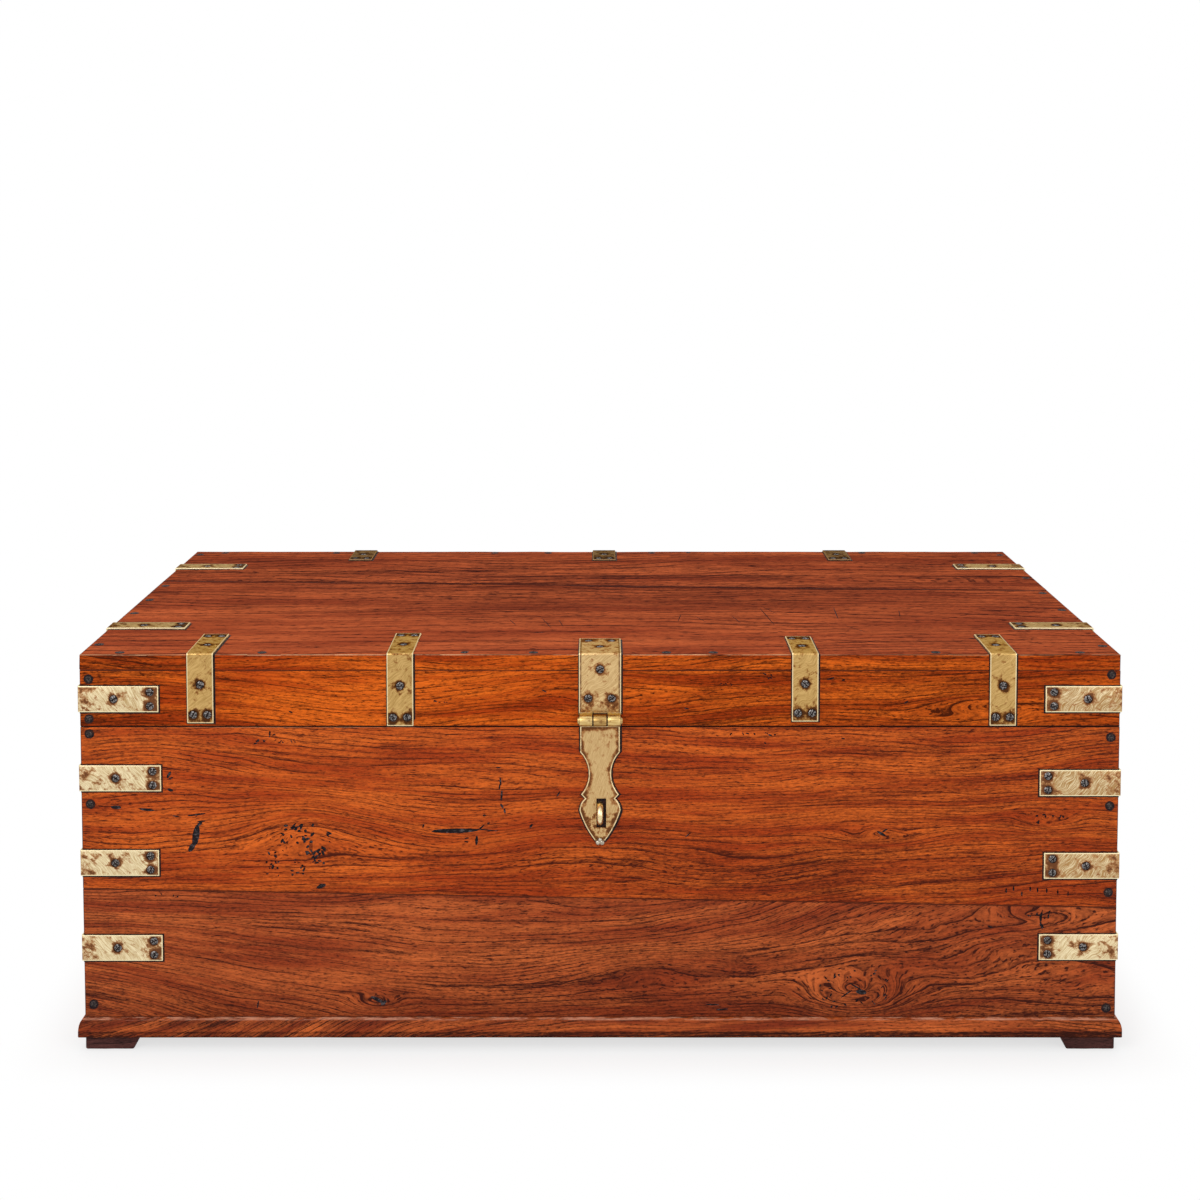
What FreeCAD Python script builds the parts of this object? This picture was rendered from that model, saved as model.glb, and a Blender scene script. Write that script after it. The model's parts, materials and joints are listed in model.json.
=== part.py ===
import FreeCAD, Part
import math
import os

# A low boarded dowry chest of teak, bound at every edge with bent brass straps.
# X runs to the right as seen from the front, Y to the back and Z up. The origin is on
# the floor under the middle of the case. Lengths are in millimetres.

# Overall sizes of the case
case_width = 1120.0
case_depth = 580.0
wall_height = 321.0
wall_thickness = 18.0
bottom_thickness = 12.0

# Base: a mitred plinth moulding on four block feet
foot_height = 16.0
foot_length = 60.0
foot_bevel = 8.0
plinth_height = 20.0
plinth_width = 45.0
plinth_projection = 6.5
plinth_band = 6.0

# Lid: two boards on a frame of four rails
lid_gap = 0.4
rail_height = 61.1
rail_thickness = 18.0
lid_board_thickness = 17.0

# Joints between boards, each at the left and at the right, as shares of the wall height,
# or of the case depth for the lid and the bottom
front_joint_shares = (0.445, 0.380)
back_joint_shares = (0.40, 0.44)
end_joint_shares = (0.41, 0.47)
lid_joint_shares = (0.662, 0.559)
bottom_joint_shares = (0.0, 0.36, 0.68, 1.0)

# Brass straps and the screws that hold them
metal_thickness = 2.0
strap_width = 28.5
strap_bend = 1.2
strap_leg = 85.0
end_screw_inset = 9.5
pair_screw_offset = 7.6
middle_screw_share = 0.43
screw_head_radius = 4.25
screw_shank_radius = 2.2
screw_length = 15.0
screw_sides = 5
seat_clearance = 0.1
overrun = 2.0

# Rods, pins and rolled barrels are drawn with flat sides; their bores are true circles
rod_sides = 12
barrel_sides = 16
bend_flats = 4

# Case corner straps: height of each above the plinth and length of its front or back
# leg, as shares of the wall height and of the strap leg
left_strap_shares = ((0.825, 1.02), (0.535, 0.98), (0.242, 1.01))
right_strap_shares = ((0.809, 1.01), (0.525, 0.94), (0.245, 0.99))
lid_corner_strap_drop = 48.0
lid_corner_leg_shares = (1.0, 0.95)

# Straps over the front edge of the lid: place across as a share of the case width, leg
# down the front as a share of the lid height, leg on top as a share of the strap leg
lid_front_strap_shares = (
    (-0.384, 0.951, 1.024),
    (-0.192, 0.990, 1.071),
    (0.197, 0.928, 0.894),
    (0.387, 0.985, 1.0),
)

# Straps over the end edges of the lid: distance from the front or back edge
end_strap_front_distance = 130.0
end_strap_back_distance = 110.0
end_strap_gap = 3.0
end_strap_top_leg = 88.0

# Strap hinges at the back
hinge_width = 31.0
hinge_x_shares = (-0.29, 0.005, 0.29)
hinge_top_leg = 64.0
hinge_lower_leg = 80.0
hinge_pin_radius = 3.4
pin_clearance = 0.05
leaf_clearance = 0.4
knuckle_gap = 0.3
hinge_middle_screw_distance = 30.0
hinge_pair_screw_distance = 56.0
lower_middle_screw_distance = 34.0
lower_pair_screw_distance = 68.0

# Hasp: a plate bent over the lid's front edge, a pin and a shaped hanging leaf
hasp_width = 45.5
hasp_pin_drop = 70.0
hasp_pin_radius = 4.15
hasp_pin_overhang = 1.5
hasp_top_leg = 66.0
hasp_pair_offset = 12.6
hasp_front_screw_distance = 15.2
hasp_front_pair_distance = 47.0
hasp_top_screw_distance = 29.0
hasp_top_pair_distance = 56.0
leaf_length = 138.5
leaf_width = 43.5
leaf_tip_radius = 5.6
leaf_tip_height = 3.2

# Edge of the leaf: half width and distance below the pin, as shares of its width and length
leaf_shoulder_shares = (0.500, 0.260)
leaf_waist_shares = (0.284, 0.428)
leaf_point_shares = (0.481, 0.594)
leaf_notch_shares = (0.386, 0.626)
leaf_cheek_shares = (0.485, 0.671)
leaf_bulge_shares = (0.518, 0.721)
leaf_taper_shares = (0.343, 0.858)
leaf_end_shares = (0.132, 0.962)

# Slot of the leaf, and the staple that stands through it and takes a padlock
slot_width = 10.5
slot_drop = 86.5
slot_height = 32.0
staple_rod_radius = 3.4
staple_drop = 90.0
staple_height = 23.5
staple_reach = 19.5
staple_depth = 16.0

# Drop handle on each end: a bail hung in two eye posts
handle_height = 236.0
handle_span = 120.0
handle_drop = 62.0
handle_rod_radius = 4.5
handle_corner_radius = 18.0
handle_stub_radius = 8.0
handle_stub_end = 3.0
eye_reach = 14.0
eye_radius = 8.0
eye_thickness = 9.0
rose_radius = 17.0
rose_thickness = 2.5
rose_bevel = 1.2

# Square nails: places along each edge as shares of the wall height, lid height,
# case width or case depth
nail_length = 42.0
nail_head_radius = 4.6
nail_sides = 4
nail_inset = 9.5
front_left_nail_shares = (0.045, 0.735, 0.975)
front_right_nail_shares = (0.032, 0.432, 0.729, 0.963)
lid_rail_nail_shares = ((0.105, 0.66), (0.72,))
lid_front_nail_shares = (-0.463, -0.326, -0.130, -0.064, 0.064, 0.109, 0.324, 0.463)
lid_left_nail_shares = (0.079, 0.343, 0.467, 0.609, 0.962)
lid_right_nail_shares = (0.066, 0.371, 0.534, 0.691, 0.957)

# Levels and faces worked out from the sizes above
half_width = case_width / 2
half_depth = case_depth / 2
plinth_top = foot_height + plinth_height
case_top = plinth_top + wall_height
lid_bottom = case_top + lid_gap
lid_board_bottom = lid_bottom + rail_height
lid_top = lid_board_bottom + lid_board_thickness
lid_height = lid_top - lid_bottom
inner_width = case_width - 2 * wall_thickness
inner_depth = case_depth - 2 * wall_thickness
side_sign = {"left": -1, "right": 1}

V = FreeCAD.Vector
RIGHT = V(1, 0, 0)
BACK = V(0, 1, 0)
UP = V(0, 0, 1)

os.makedirs("parts", exist_ok=True)


def save(node, solids):
    """Write one node: a single solid, or a group of separate ones."""
    shape = solids[0] if len(solids) == 1 else Part.makeCompound(solids)
    shape.exportStep("parts/" + node + ".step")


def prism(points, along):
    """A flat outline pushed along a vector."""
    return Part.Face(Part.makePolygon(points + points[:1])).extrude(along)


def block(low, high):
    """A box between two corners, given in any order."""
    x0, x1 = sorted((low.x, high.x))
    y0, y1 = sorted((low.y, high.y))
    z0, z1 = sorted((low.z, high.z))
    return Part.makeBox(x1 - x0, y1 - y0, z1 - z0, V(x0, y0, z0))


def faceted(rings):
    """A solid with flat faces between rings of points. A ring of one point is a tip."""
    outlines = [rings[0]]
    for near, far in zip(rings, rings[1:]):
        for i, point in enumerate(near):
            following = near[(i + 1) % len(near)]
            if len(far) == 1:
                outlines.append([point, following, far[0]])
            else:
                outlines.append([point, following, far[(i + 1) % len(far)], far[i]])
    if len(rings[-1]) > 1:
        outlines.append(rings[-1])
    faces = [Part.Face(Part.makePolygon(outline + outline[:1])) for outline in outlines]
    solid = Part.Solid(Part.Shell(faces))
    if solid.Volume < 0:
        solid.reverse()
    return solid


def ring(radius, depth, sides):
    """Corners of a regular polygon round the local Z axis, at a depth along it."""
    turns = [2 * math.pi * i / sides for i in range(sides)]
    return [V(radius * math.cos(turn), radius * math.sin(turn), depth) for turn in turns]


def bent_rod(points, bends, radius):
    """A rod in a plane square to X, with a quarter bend of a given radius at each inner point."""
    stations = [(points[0], (points[1] - points[0]).normalize())]
    for before, point, after, bend in zip(points, points[1:], points[2:], bends):
        arriving = (point - before).normalize()
        leaving = (after - point).normalize()
        centre = point - arriving * bend + leaving * bend
        for flat in range(bend_flats + 1):
            turn = math.pi / 2 * flat / bend_flats
            place = centre + (arriving * math.sin(turn) - leaving * math.cos(turn)) * bend
            if place.distanceToPoint(stations[-1][0]) > pin_clearance:
                stations.append((place, arriving * math.cos(turn) + leaving * math.sin(turn)))
    stations.append((points[-1], leaving))
    return faceted(
        [
            [
                place + RIGHT * corner.x + heading.cross(RIGHT) * corner.y
                for corner in ring(radius, 0, rod_sides)
            ]
            for place, heading in stations
        ]
    )


def aimed(shape, place, along, inward):
    """A copy of a shape with its local Z turned inward and its local X along."""
    across = inward.cross(along)
    turned = shape.copy()
    turned.Placement = FreeCAD.Placement(
        FreeCAD.Matrix(
            along.x, across.x, inward.x, place.x,
            along.y, across.y, inward.y, place.y,
            along.z, across.z, inward.z, place.z,
            0, 0, 0, 1,
        )
    )
    return turned


def round_bar(radius, length, start, heading, sides):
    """A straight level bar with many flat sides."""
    return aimed(faceted([ring(radius, 0, sides), ring(radius, length, sides)]), start, UP, heading)


# Countersunk screw with its head flush with the metal, and the seat cut for it
screw = faceted(
    [
        ring(screw_head_radius, 0, screw_sides),
        ring(screw_shank_radius, metal_thickness, screw_sides),
        [V(0, 0, screw_length)],
    ]
)
screw_seat = faceted(
    [
        ring(screw_head_radius + seat_clearance, -overrun, screw_sides),
        ring(screw_head_radius + seat_clearance, 0, screw_sides),
        ring(screw_shank_radius + seat_clearance, metal_thickness, screw_sides),
        ring(screw_shank_radius + seat_clearance, metal_thickness + overrun, screw_sides),
    ]
)
nail = faceted([ring(nail_head_radius, 0, nail_sides), [V(0, 0, nail_length)]])

screws = {"case": [], "lid": []}
nails = {"case": [], "lid": []}


def screwed(metal, body, corner, along, inward, pattern):
    """Cut a screw seat at each (distance, offset) of a pattern, and add the screws."""
    across = inward.cross(along)
    for distance, offset in pattern:
        place = corner + along * distance + across * offset - inward * metal_thickness
        metal = metal.cut(aimed(screw_seat, place, along, inward))
        screws[body].append(aimed(screw, place, along, inward))
    return metal


def strap_pattern(leg):
    """One screw near the bend and a pair near the end of a strap's leg."""
    pair = leg - end_screw_inset
    middle = leg * middle_screw_share
    return ((middle, 0), (pair, -pair_screw_offset), (pair, pair_screw_offset))


def bent_bar(corner, first, second, first_leg, second_leg, width):
    """A metal bar bent over a wooden corner, one leg along each direction."""
    third = first.cross(second)
    start = corner - third * (width / 2)
    outer = metal_thickness
    shape = (
        (first_leg, 0),
        (first_leg, -outer),
        (strap_bend - outer, -outer),
        (-outer, strap_bend - outer),
        (-outer, second_leg),
        (0, second_leg),
        (0, 0),
    )
    return prism([start + first * a + second * b for a, b in shape], third * width)


def strap(body, corner, first, second, first_leg, second_leg):
    """A bent strap with three screws in each leg."""
    metal = bent_bar(corner, first, second, first_leg, second_leg, strap_width)
    metal = screwed(metal, body, corner, first, second, strap_pattern(first_leg))
    return screwed(metal, body, corner, second, first, strap_pattern(second_leg))


# Case walls: front and back run the full width, the ends stand between them
def long_wall(name, y, inward, joint_shares):
    """Upper and lower board of the front or back, on a slanting joint."""
    left, right = (plinth_top + wall_height * share for share in joint_shares)
    low = [V(-half_width, y, plinth_top), V(half_width, y, plinth_top)]
    joint = [V(-half_width, y, left), V(half_width, y, right)]
    high = [V(-half_width, y, case_top), V(half_width, y, case_top)]
    push = inward * wall_thickness
    save(name + "_lower_board", [prism(low + joint[::-1], push)])
    save(name + "_upper_board", [prism(joint + high[::-1], push)])


long_wall("front", -half_depth, BACK, front_joint_shares)
long_wall("back", half_depth, -BACK, back_joint_shares)

for (side, sign), joint_share in zip(side_sign.items(), end_joint_shares):
    outer = sign * half_width
    inner = sign * inner_width / 2
    joint = plinth_top + wall_height * joint_share
    front_face = V(outer, -inner_depth / 2, plinth_top)
    save(side + "_end_lower_board", [block(front_face, V(inner, inner_depth / 2, joint))])
    front_face = V(outer, -inner_depth / 2, joint)
    save(side + "_end_upper_board", [block(front_face, V(inner, inner_depth / 2, case_top))])

# Bottom: three boards laid inside the walls, on the plinth
for name, near, far in zip(
    ("front", "middle", "back"), bottom_joint_shares, bottom_joint_shares[1:]
):
    low = V(-inner_width / 2, inner_depth * (near - 0.5), plinth_top)
    high = V(inner_width / 2, inner_depth * (far - 0.5), plinth_top + bottom_thickness)
    save("bottom_" + name + "_board", [block(low, high)])


# Plinth: four mitred lengths of a rounded moulding under the walls
def plinth_piece(half_length, distance):
    """The length of moulding on the front side of a rectangle of the given half sizes."""
    face = -distance
    edge = face - plinth_projection
    inner = edge + plinth_width
    band_top = foot_height + plinth_band
    rise = plinth_height - plinth_band
    reach = half_length + plinth_projection
    at = -reach
    bow = math.sqrt(0.5)
    round_middle = V(at, face - plinth_projection * bow, band_top + rise * bow)
    moulding = Part.Wire(
        [
            Part.LineSegment(V(at, inner, plinth_top), V(at, face, plinth_top)).toShape(),
            Part.Arc(V(at, face, plinth_top), round_middle, V(at, edge, band_top)).toShape(),
            Part.LineSegment(V(at, edge, band_top), V(at, edge, foot_height)).toShape(),
            Part.LineSegment(V(at, edge, foot_height), V(at, inner, foot_height)).toShape(),
            Part.LineSegment(V(at, inner, foot_height), V(at, inner, plinth_top)).toShape(),
        ]
    )
    length = Part.Face(moulding).extrude(RIGHT * (2 * reach))
    short = reach - plinth_width
    mitre = [
        V(-reach, edge, 0),
        V(reach, edge, 0),
        V(short, inner, 0),
        V(-short, inner, 0),
    ]
    return length.common(prism(mitre, UP * (plinth_top + overrun)))


plinth_turns = {
    "front": (0, half_width, half_depth),
    "right": (90, half_depth, half_width),
    "back": (180, half_width, half_depth),
    "left": (270, half_depth, half_width),
}
for name, (turn, half_length, distance) in plinth_turns.items():
    piece = plinth_piece(half_length, distance)
    piece.rotate(V(0, 0, 0), UP, turn)
    save("plinth_" + name, piece.Solids)


# Feet: blocks whose two inner ends slope in to the floor
def foot_outline(x_sign, y_sign, length, height):
    """Corners of a foot at a height, where it has the given length."""
    outer = V(x_sign * half_width, y_sign * half_depth, height)
    along_x = RIGHT * (-x_sign * length)
    along_y = BACK * (-y_sign * length)
    return [outer, outer + along_x, outer + along_x + along_y, outer + along_y]


for end, end_sign in (("front", -1), ("back", 1)):
    for side, sign in side_sign.items():
        sole = foot_outline(sign, end_sign, foot_length - foot_bevel, 0)
        top = foot_outline(sign, end_sign, foot_length, foot_height)
        save("foot_" + end + "_" + side, [faceted([sole, top])])

# Case corner straps: three at each corner, bent round from the front or back to the end
for end, end_sign in (("front", -1), ("back", 1)):
    for side, shares in (("left", left_strap_shares), ("right", right_strap_shares)):
        inward_x = RIGHT * -side_sign[side]
        inward_y = BACK * -end_sign
        solids = []
        for height_share, leg_share in shares:
            height = plinth_top + wall_height * height_share
            corner = V(side_sign[side] * half_width, end_sign * half_depth, height)
            leg = strap_leg * leg_share
            solids.append(strap("case", corner, inward_x, inward_y, leg, strap_leg))
        save("case_straps_" + end + "_" + side, solids)

# Lid frame and boards
lid_y = {
    "front": (-half_depth, -half_depth),
    "joint": [case_depth * share - half_depth for share in lid_joint_shares],
    "back": (half_depth, half_depth),
}
lid_edges = {
    edge: [V(-half_width, left_y, lid_board_bottom), V(half_width, right_y, lid_board_bottom)]
    for edge, (left_y, right_y) in lid_y.items()
}
board_rise = UP * lid_board_thickness
save("lid_front_board", [prism(lid_edges["front"] + lid_edges["joint"][::-1], board_rise)])
save("lid_back_board", [prism(lid_edges["joint"] + lid_edges["back"][::-1], board_rise)])

rail_inner_x = half_width - rail_thickness
rail_inner_y = half_depth - rail_thickness
for name, sign in (("front", -1), ("back", 1)):
    outer_corner = V(-half_width, sign * half_depth, lid_bottom)
    inner_corner = V(half_width, sign * rail_inner_y, lid_board_bottom)
    save("lid_" + name + "_rail", [block(outer_corner, inner_corner)])
for side, sign in side_sign.items():
    outer_corner = V(sign * half_width, -rail_inner_y, lid_bottom)
    inner_corner = V(sign * rail_inner_x, rail_inner_y, lid_board_bottom)
    save("lid_" + side + "_rail", [block(outer_corner, inner_corner)])

# Lid straps: round the four corners, over the front edge and over both end edges
for end, end_sign in (("front", -1), ("back", 1)):
    for (side, sign), leg_share in zip(side_sign.items(), lid_corner_leg_shares):
        corner = V(sign * half_width, end_sign * half_depth, lid_top - lid_corner_strap_drop)
        leg = strap_leg * leg_share
        piece = strap("lid", corner, RIGHT * -sign, BACK * -end_sign, leg, strap_leg)
        save("lid_corner_strap_" + end + "_" + side, [piece])

lid_front_straps = ("far_left", "near_left", "near_right", "far_right")
for name, (across_share, down_share, top_share) in zip(lid_front_straps, lid_front_strap_shares):
    corner = V(case_width * across_share, -half_depth, lid_top)
    down = lid_height * down_share
    piece = strap("lid", corner, -UP, BACK, down, strap_leg * top_share)
    save("lid_front_strap_" + name, [piece])

for side, sign in side_sign.items():
    solids = []
    for y in (end_strap_front_distance - half_depth, half_depth - end_strap_back_distance):
        corner = V(sign * half_width, y, lid_top)
        down = lid_height - end_strap_gap
        solids.append(strap("lid", corner, -UP, RIGHT * -sign, down, end_strap_top_leg))
    save("lid_end_straps_" + side, solids)


# Hinges and hasp share one kind of rolled knuckle
def knuckle(x, width, centre, barrel, bore, plate_face, plate_edge):
    """A tube round the pin, and the tongue that joins it to its flat plate."""
    start = V(x - width / 2, centre.y, centre.z)
    tube = round_bar(barrel, width, start, RIGHT, barrel_sides)
    outside = math.copysign(metal_thickness, centre.y)
    low = V(x - width / 2, plate_face, centre.z)
    tube = tube.fuse(block(low, V(x + width / 2, plate_face + outside, plate_edge)))
    return tube.cut(Part.makeCylinder(bore, width, start, RIGHT))


def knuckle_row(width):
    """Offset and width of three knuckles side by side: two outer ones and the middle one."""
    each = (width - 2 * knuckle_gap) / 3
    step = each + knuckle_gap
    return (-step, step), each


# Hinges: the lid carries the two outer knuckles, the case the middle one
hinge_bore = hinge_pin_radius + pin_clearance
hinge_barrel = hinge_bore + metal_thickness
hinge_y = half_depth + leaf_clearance + hinge_barrel
hinge_z = (case_top + lid_bottom) / 2
outer_offsets, hinge_knuckle = knuckle_row(hinge_width)
upper_leaves = []
lower_leaves = []
hinge_pins = []
for x_share in hinge_x_shares:
    x = case_width * x_share
    centre = V(x, hinge_y, hinge_z)
    upper_edge = hinge_z + hinge_barrel + knuckle_gap
    corner = V(x, half_depth, lid_top)
    down = lid_top - upper_edge
    upper = bent_bar(corner, -UP, -BACK, down, hinge_top_leg, hinge_width)
    pattern = ((hinge_middle_screw_distance, 0), (hinge_pair_screw_distance, -pair_screw_offset))
    pattern += ((hinge_pair_screw_distance, pair_screw_offset),)
    upper = screwed(upper, "lid", corner, -UP, -BACK, pattern)
    top_pattern = strap_pattern(hinge_top_leg)
    upper = screwed(upper, "lid", corner, -BACK, -UP, top_pattern)
    for offset in outer_offsets:
        roll_x = x + offset
        roll = knuckle(roll_x, hinge_knuckle, centre, hinge_barrel, hinge_bore, half_depth, upper_edge)
        upper = upper.fuse(roll)
    upper_leaves += upper.removeSplitter().Solids

    lower_edge = hinge_z - hinge_barrel - knuckle_gap
    top_corner = V(x - hinge_width / 2, half_depth, lower_edge)
    foot_corner = V(x + hinge_width / 2, half_depth + metal_thickness, hinge_z - hinge_lower_leg)
    lower = block(top_corner, foot_corner)
    corner = V(x, half_depth, hinge_z)
    pattern = ((lower_middle_screw_distance, 0), (lower_pair_screw_distance, -pair_screw_offset))
    pattern += ((lower_pair_screw_distance, pair_screw_offset),)
    lower = screwed(lower, "case", corner, -UP, -BACK, pattern)
    roll = knuckle(x, hinge_knuckle, centre, hinge_barrel, hinge_bore, half_depth, lower_edge)
    lower_leaves += lower.fuse(roll).removeSplitter().Solids

    pin_start = V(x - hinge_width / 2, hinge_y, hinge_z)
    pin = round_bar(hinge_pin_radius, hinge_width, pin_start, RIGHT, barrel_sides)
    hinge_pins.append(pin)
save("hinge_upper_leaves", upper_leaves)
save("hinge_lower_leaves", lower_leaves)
save("hinge_pins", hinge_pins)

# Hasp plate: over the lid's front edge and down to the two outer knuckles
hasp_bore = hasp_pin_radius + pin_clearance
hasp_barrel = hasp_bore + metal_thickness
hasp_y = -(half_depth + leaf_clearance + hasp_barrel)
hasp_z = lid_top - hasp_pin_drop
hasp_offsets, hasp_knuckle = knuckle_row(hasp_width)
plate_edge = hasp_z + hasp_barrel + knuckle_gap
corner = V(0, -half_depth, lid_top)
plate = bent_bar(corner, -UP, BACK, lid_top - plate_edge, hasp_top_leg, hasp_width)
pattern = ((hasp_front_screw_distance, 0), (hasp_front_pair_distance, -hasp_pair_offset))
pattern += ((hasp_front_pair_distance, hasp_pair_offset),)
plate = screwed(plate, "lid", corner, -UP, BACK, pattern)
pattern = ((hasp_top_screw_distance, 0), (hasp_top_pair_distance, -hasp_pair_offset))
pattern += ((hasp_top_pair_distance, hasp_pair_offset),)
plate = screwed(plate, "lid", corner, BACK, -UP, pattern)
hasp_centre = V(0, hasp_y, hasp_z)
for offset in hasp_offsets:
    roll = knuckle(
        offset, hasp_knuckle, hasp_centre, hasp_barrel, hasp_bore, -half_depth, plate_edge
    )
    plate = plate.fuse(roll)
save("hasp_plate", plate.removeSplitter().Solids)
hasp_pin_length = hasp_width + 2 * hasp_pin_overhang
pin_start = V(-hasp_pin_length / 2, hasp_y, hasp_z)
pin = round_bar(hasp_pin_radius, hasp_pin_length, pin_start, RIGHT, barrel_sides)
save("hasp_pin", [pin])


# Hasp leaf: straight shoulders, a drawn-in waist, two points and a tapering shield
leaf_back = -half_depth - leaf_clearance
leaf_top = hasp_z - hasp_barrel - knuckle_gap


def leaf_point(shares, side):
    """A point on the edge of the leaf, on its left or right."""
    width_share, length_share = shares
    return V(side * leaf_width * width_share, leaf_back, hasp_z - leaf_length * length_share)


def leaf_edge(side):
    """One edge of the leaf from its top corner to its end, as lines and arcs."""
    top = V(side * leaf_width / 2, leaf_back, leaf_top)
    shoulder, waist, point, notch, cheek, bulge, taper, end = (
        leaf_point(shares, side)
        for shares in (
            leaf_shoulder_shares,
            leaf_waist_shares,
            leaf_point_shares,
            leaf_notch_shares,
            leaf_cheek_shares,
            leaf_bulge_shares,
            leaf_taper_shares,
            leaf_end_shares,
        )
    )
    return [
        Part.LineSegment(top, shoulder).toShape(),
        Part.Arc(shoulder, waist, point).toShape(),
        Part.LineSegment(point, notch).toShape(),
        Part.Arc(notch, cheek, bulge).toShape(),
        Part.Arc(bulge, taper, end).toShape(),
    ]


left_edge = leaf_edge(-1)
right_edge = leaf_edge(1)
leaf_across_top = Part.LineSegment(
    left_edge[0].Vertexes[0].Point, right_edge[0].Vertexes[0].Point
).toShape()
leaf_across_end = Part.LineSegment(
    leaf_point(leaf_end_shares, -1), leaf_point(leaf_end_shares, 1)
).toShape()
leaf_outline = Part.Wire(
    Part.__sortEdges__(left_edge + [leaf_across_end] + right_edge + [leaf_across_top])
)
leaf = Part.Face(leaf_outline).extrude(-BACK * metal_thickness)
slot_low = V(-slot_width / 2, leaf_back + overrun, hasp_z - slot_drop - slot_height)
slot_high = V(slot_width / 2, leaf_back - metal_thickness - overrun, hasp_z - slot_drop)
leaf = leaf.cut(block(slot_low, slot_high))
roll = knuckle(0, hasp_knuckle, hasp_centre, hasp_barrel, hasp_bore, leaf_back, leaf_top)
tip_place = V(0, leaf_back, hasp_z - leaf_length + leaf_tip_radius)
tip = round_bar(leaf_tip_radius, metal_thickness + leaf_tip_height, tip_place, -BACK, rod_sides)
save("hasp_leaf", leaf.fuse([roll, tip]).removeSplitter().Solids)

# Staple: a rod bent into a loop, its two legs driven into the upper front board
rod_top = hasp_z - staple_drop - staple_rod_radius
rod_bottom = hasp_z - staple_drop - staple_height + staple_rod_radius
loop_radius = (rod_top - rod_bottom) / 2
loop_front = staple_rod_radius - half_depth - staple_reach
leg_end = staple_depth - half_depth
staple_corners = [
    V(0, leg_end, rod_top),
    V(0, loop_front, rod_top),
    V(0, loop_front, rod_bottom),
    V(0, leg_end, rod_bottom),
]
save("hasp_staple", [bent_rod(staple_corners, (loop_radius, loop_radius), staple_rod_radius)])

# Handles: a rod bent into a bail, its stubs turned outward through two eye posts
arm_y = handle_span / 2 - eye_thickness / 2 - knuckle_gap - handle_stub_radius
stub_y = handle_span / 2 + eye_thickness / 2 + handle_stub_end
bail_bottom = handle_height - handle_drop
eyes = []
for side, sign in side_sign.items():
    pivot_x = sign * (half_width + eye_reach)
    corners = [
        V(pivot_x, -stub_y, handle_height),
        V(pivot_x, -arm_y, handle_height),
        V(pivot_x, -arm_y, bail_bottom),
        V(pivot_x, arm_y, bail_bottom),
        V(pivot_x, arm_y, handle_height),
        V(pivot_x, stub_y, handle_height),
    ]
    bends = (handle_stub_radius, handle_corner_radius, handle_corner_radius, handle_stub_radius)
    save(side + "_handle", [bent_rod(corners, bends, handle_rod_radius)])

    outward = RIGHT * sign
    for eye_sign in (-1, 1):
        y = eye_sign * handle_span / 2
        seat = V(sign * half_width, y, handle_height)
        rose_rings = [
            ring(rose_radius, 0, barrel_sides),
            ring(rose_radius, rose_thickness - rose_bevel, barrel_sides),
            ring(rose_radius - rose_bevel, rose_thickness, barrel_sides),
        ]
        rose = aimed(faceted(rose_rings), seat, UP, outward)
        low = V(sign * half_width, y - eye_thickness / 2, handle_height - eye_radius)
        high = V(pivot_x, y + eye_thickness / 2, handle_height + eye_radius)
        pivot = V(pivot_x, y - eye_thickness / 2, handle_height)
        post = block(low, high)
        post = post.fuse(round_bar(eye_radius, eye_thickness, pivot, BACK, barrel_sides))
        bore = Part.makeCylinder(handle_rod_radius + pin_clearance, eye_thickness, pivot, BACK)
        eyes += rose.fuse(post).cut(bore).removeSplitter().Solids
save("handle_eyes", eyes)

# Nails: through the front and back boards into the ends, and down through the lid
wall_nail_shares = (front_left_nail_shares, front_right_nail_shares)
for y, inward in ((-half_depth, BACK), (half_depth, -BACK)):
    for sign, wall_shares, rail_shares in zip((-1, 1), wall_nail_shares, lid_rail_nail_shares):
        x = sign * (half_width - nail_inset)
        for share in wall_shares:
            place = V(x, y, plinth_top + wall_height * share)
            nails["case"].append(aimed(nail, place, RIGHT, inward))
        for share in rail_shares:
            place = V(x, y, lid_bottom + lid_height * share)
            nails["lid"].append(aimed(nail, place, RIGHT, inward))
for share in lid_front_nail_shares:
    for y in (nail_inset - half_depth, half_depth - nail_inset):
        nails["lid"].append(aimed(nail, V(case_width * share, y, lid_top), RIGHT, -UP))
for sign, shares in ((-1, lid_left_nail_shares), (1, lid_right_nail_shares)):
    x = sign * (half_width - nail_inset)
    for share in shares:
        place = V(x, case_depth * (share - 0.5), lid_top)
        nails["lid"].append(aimed(nail, place, RIGHT, -UP))

save("case_nails", nails["case"])
save("lid_nails", nails["lid"])
save("case_screws", screws["case"])
save("lid_screws", screws["lid"])
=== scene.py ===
import json
import math
from contextlib import contextmanager

import bpy
from mathutils import Matrix, Vector

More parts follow.
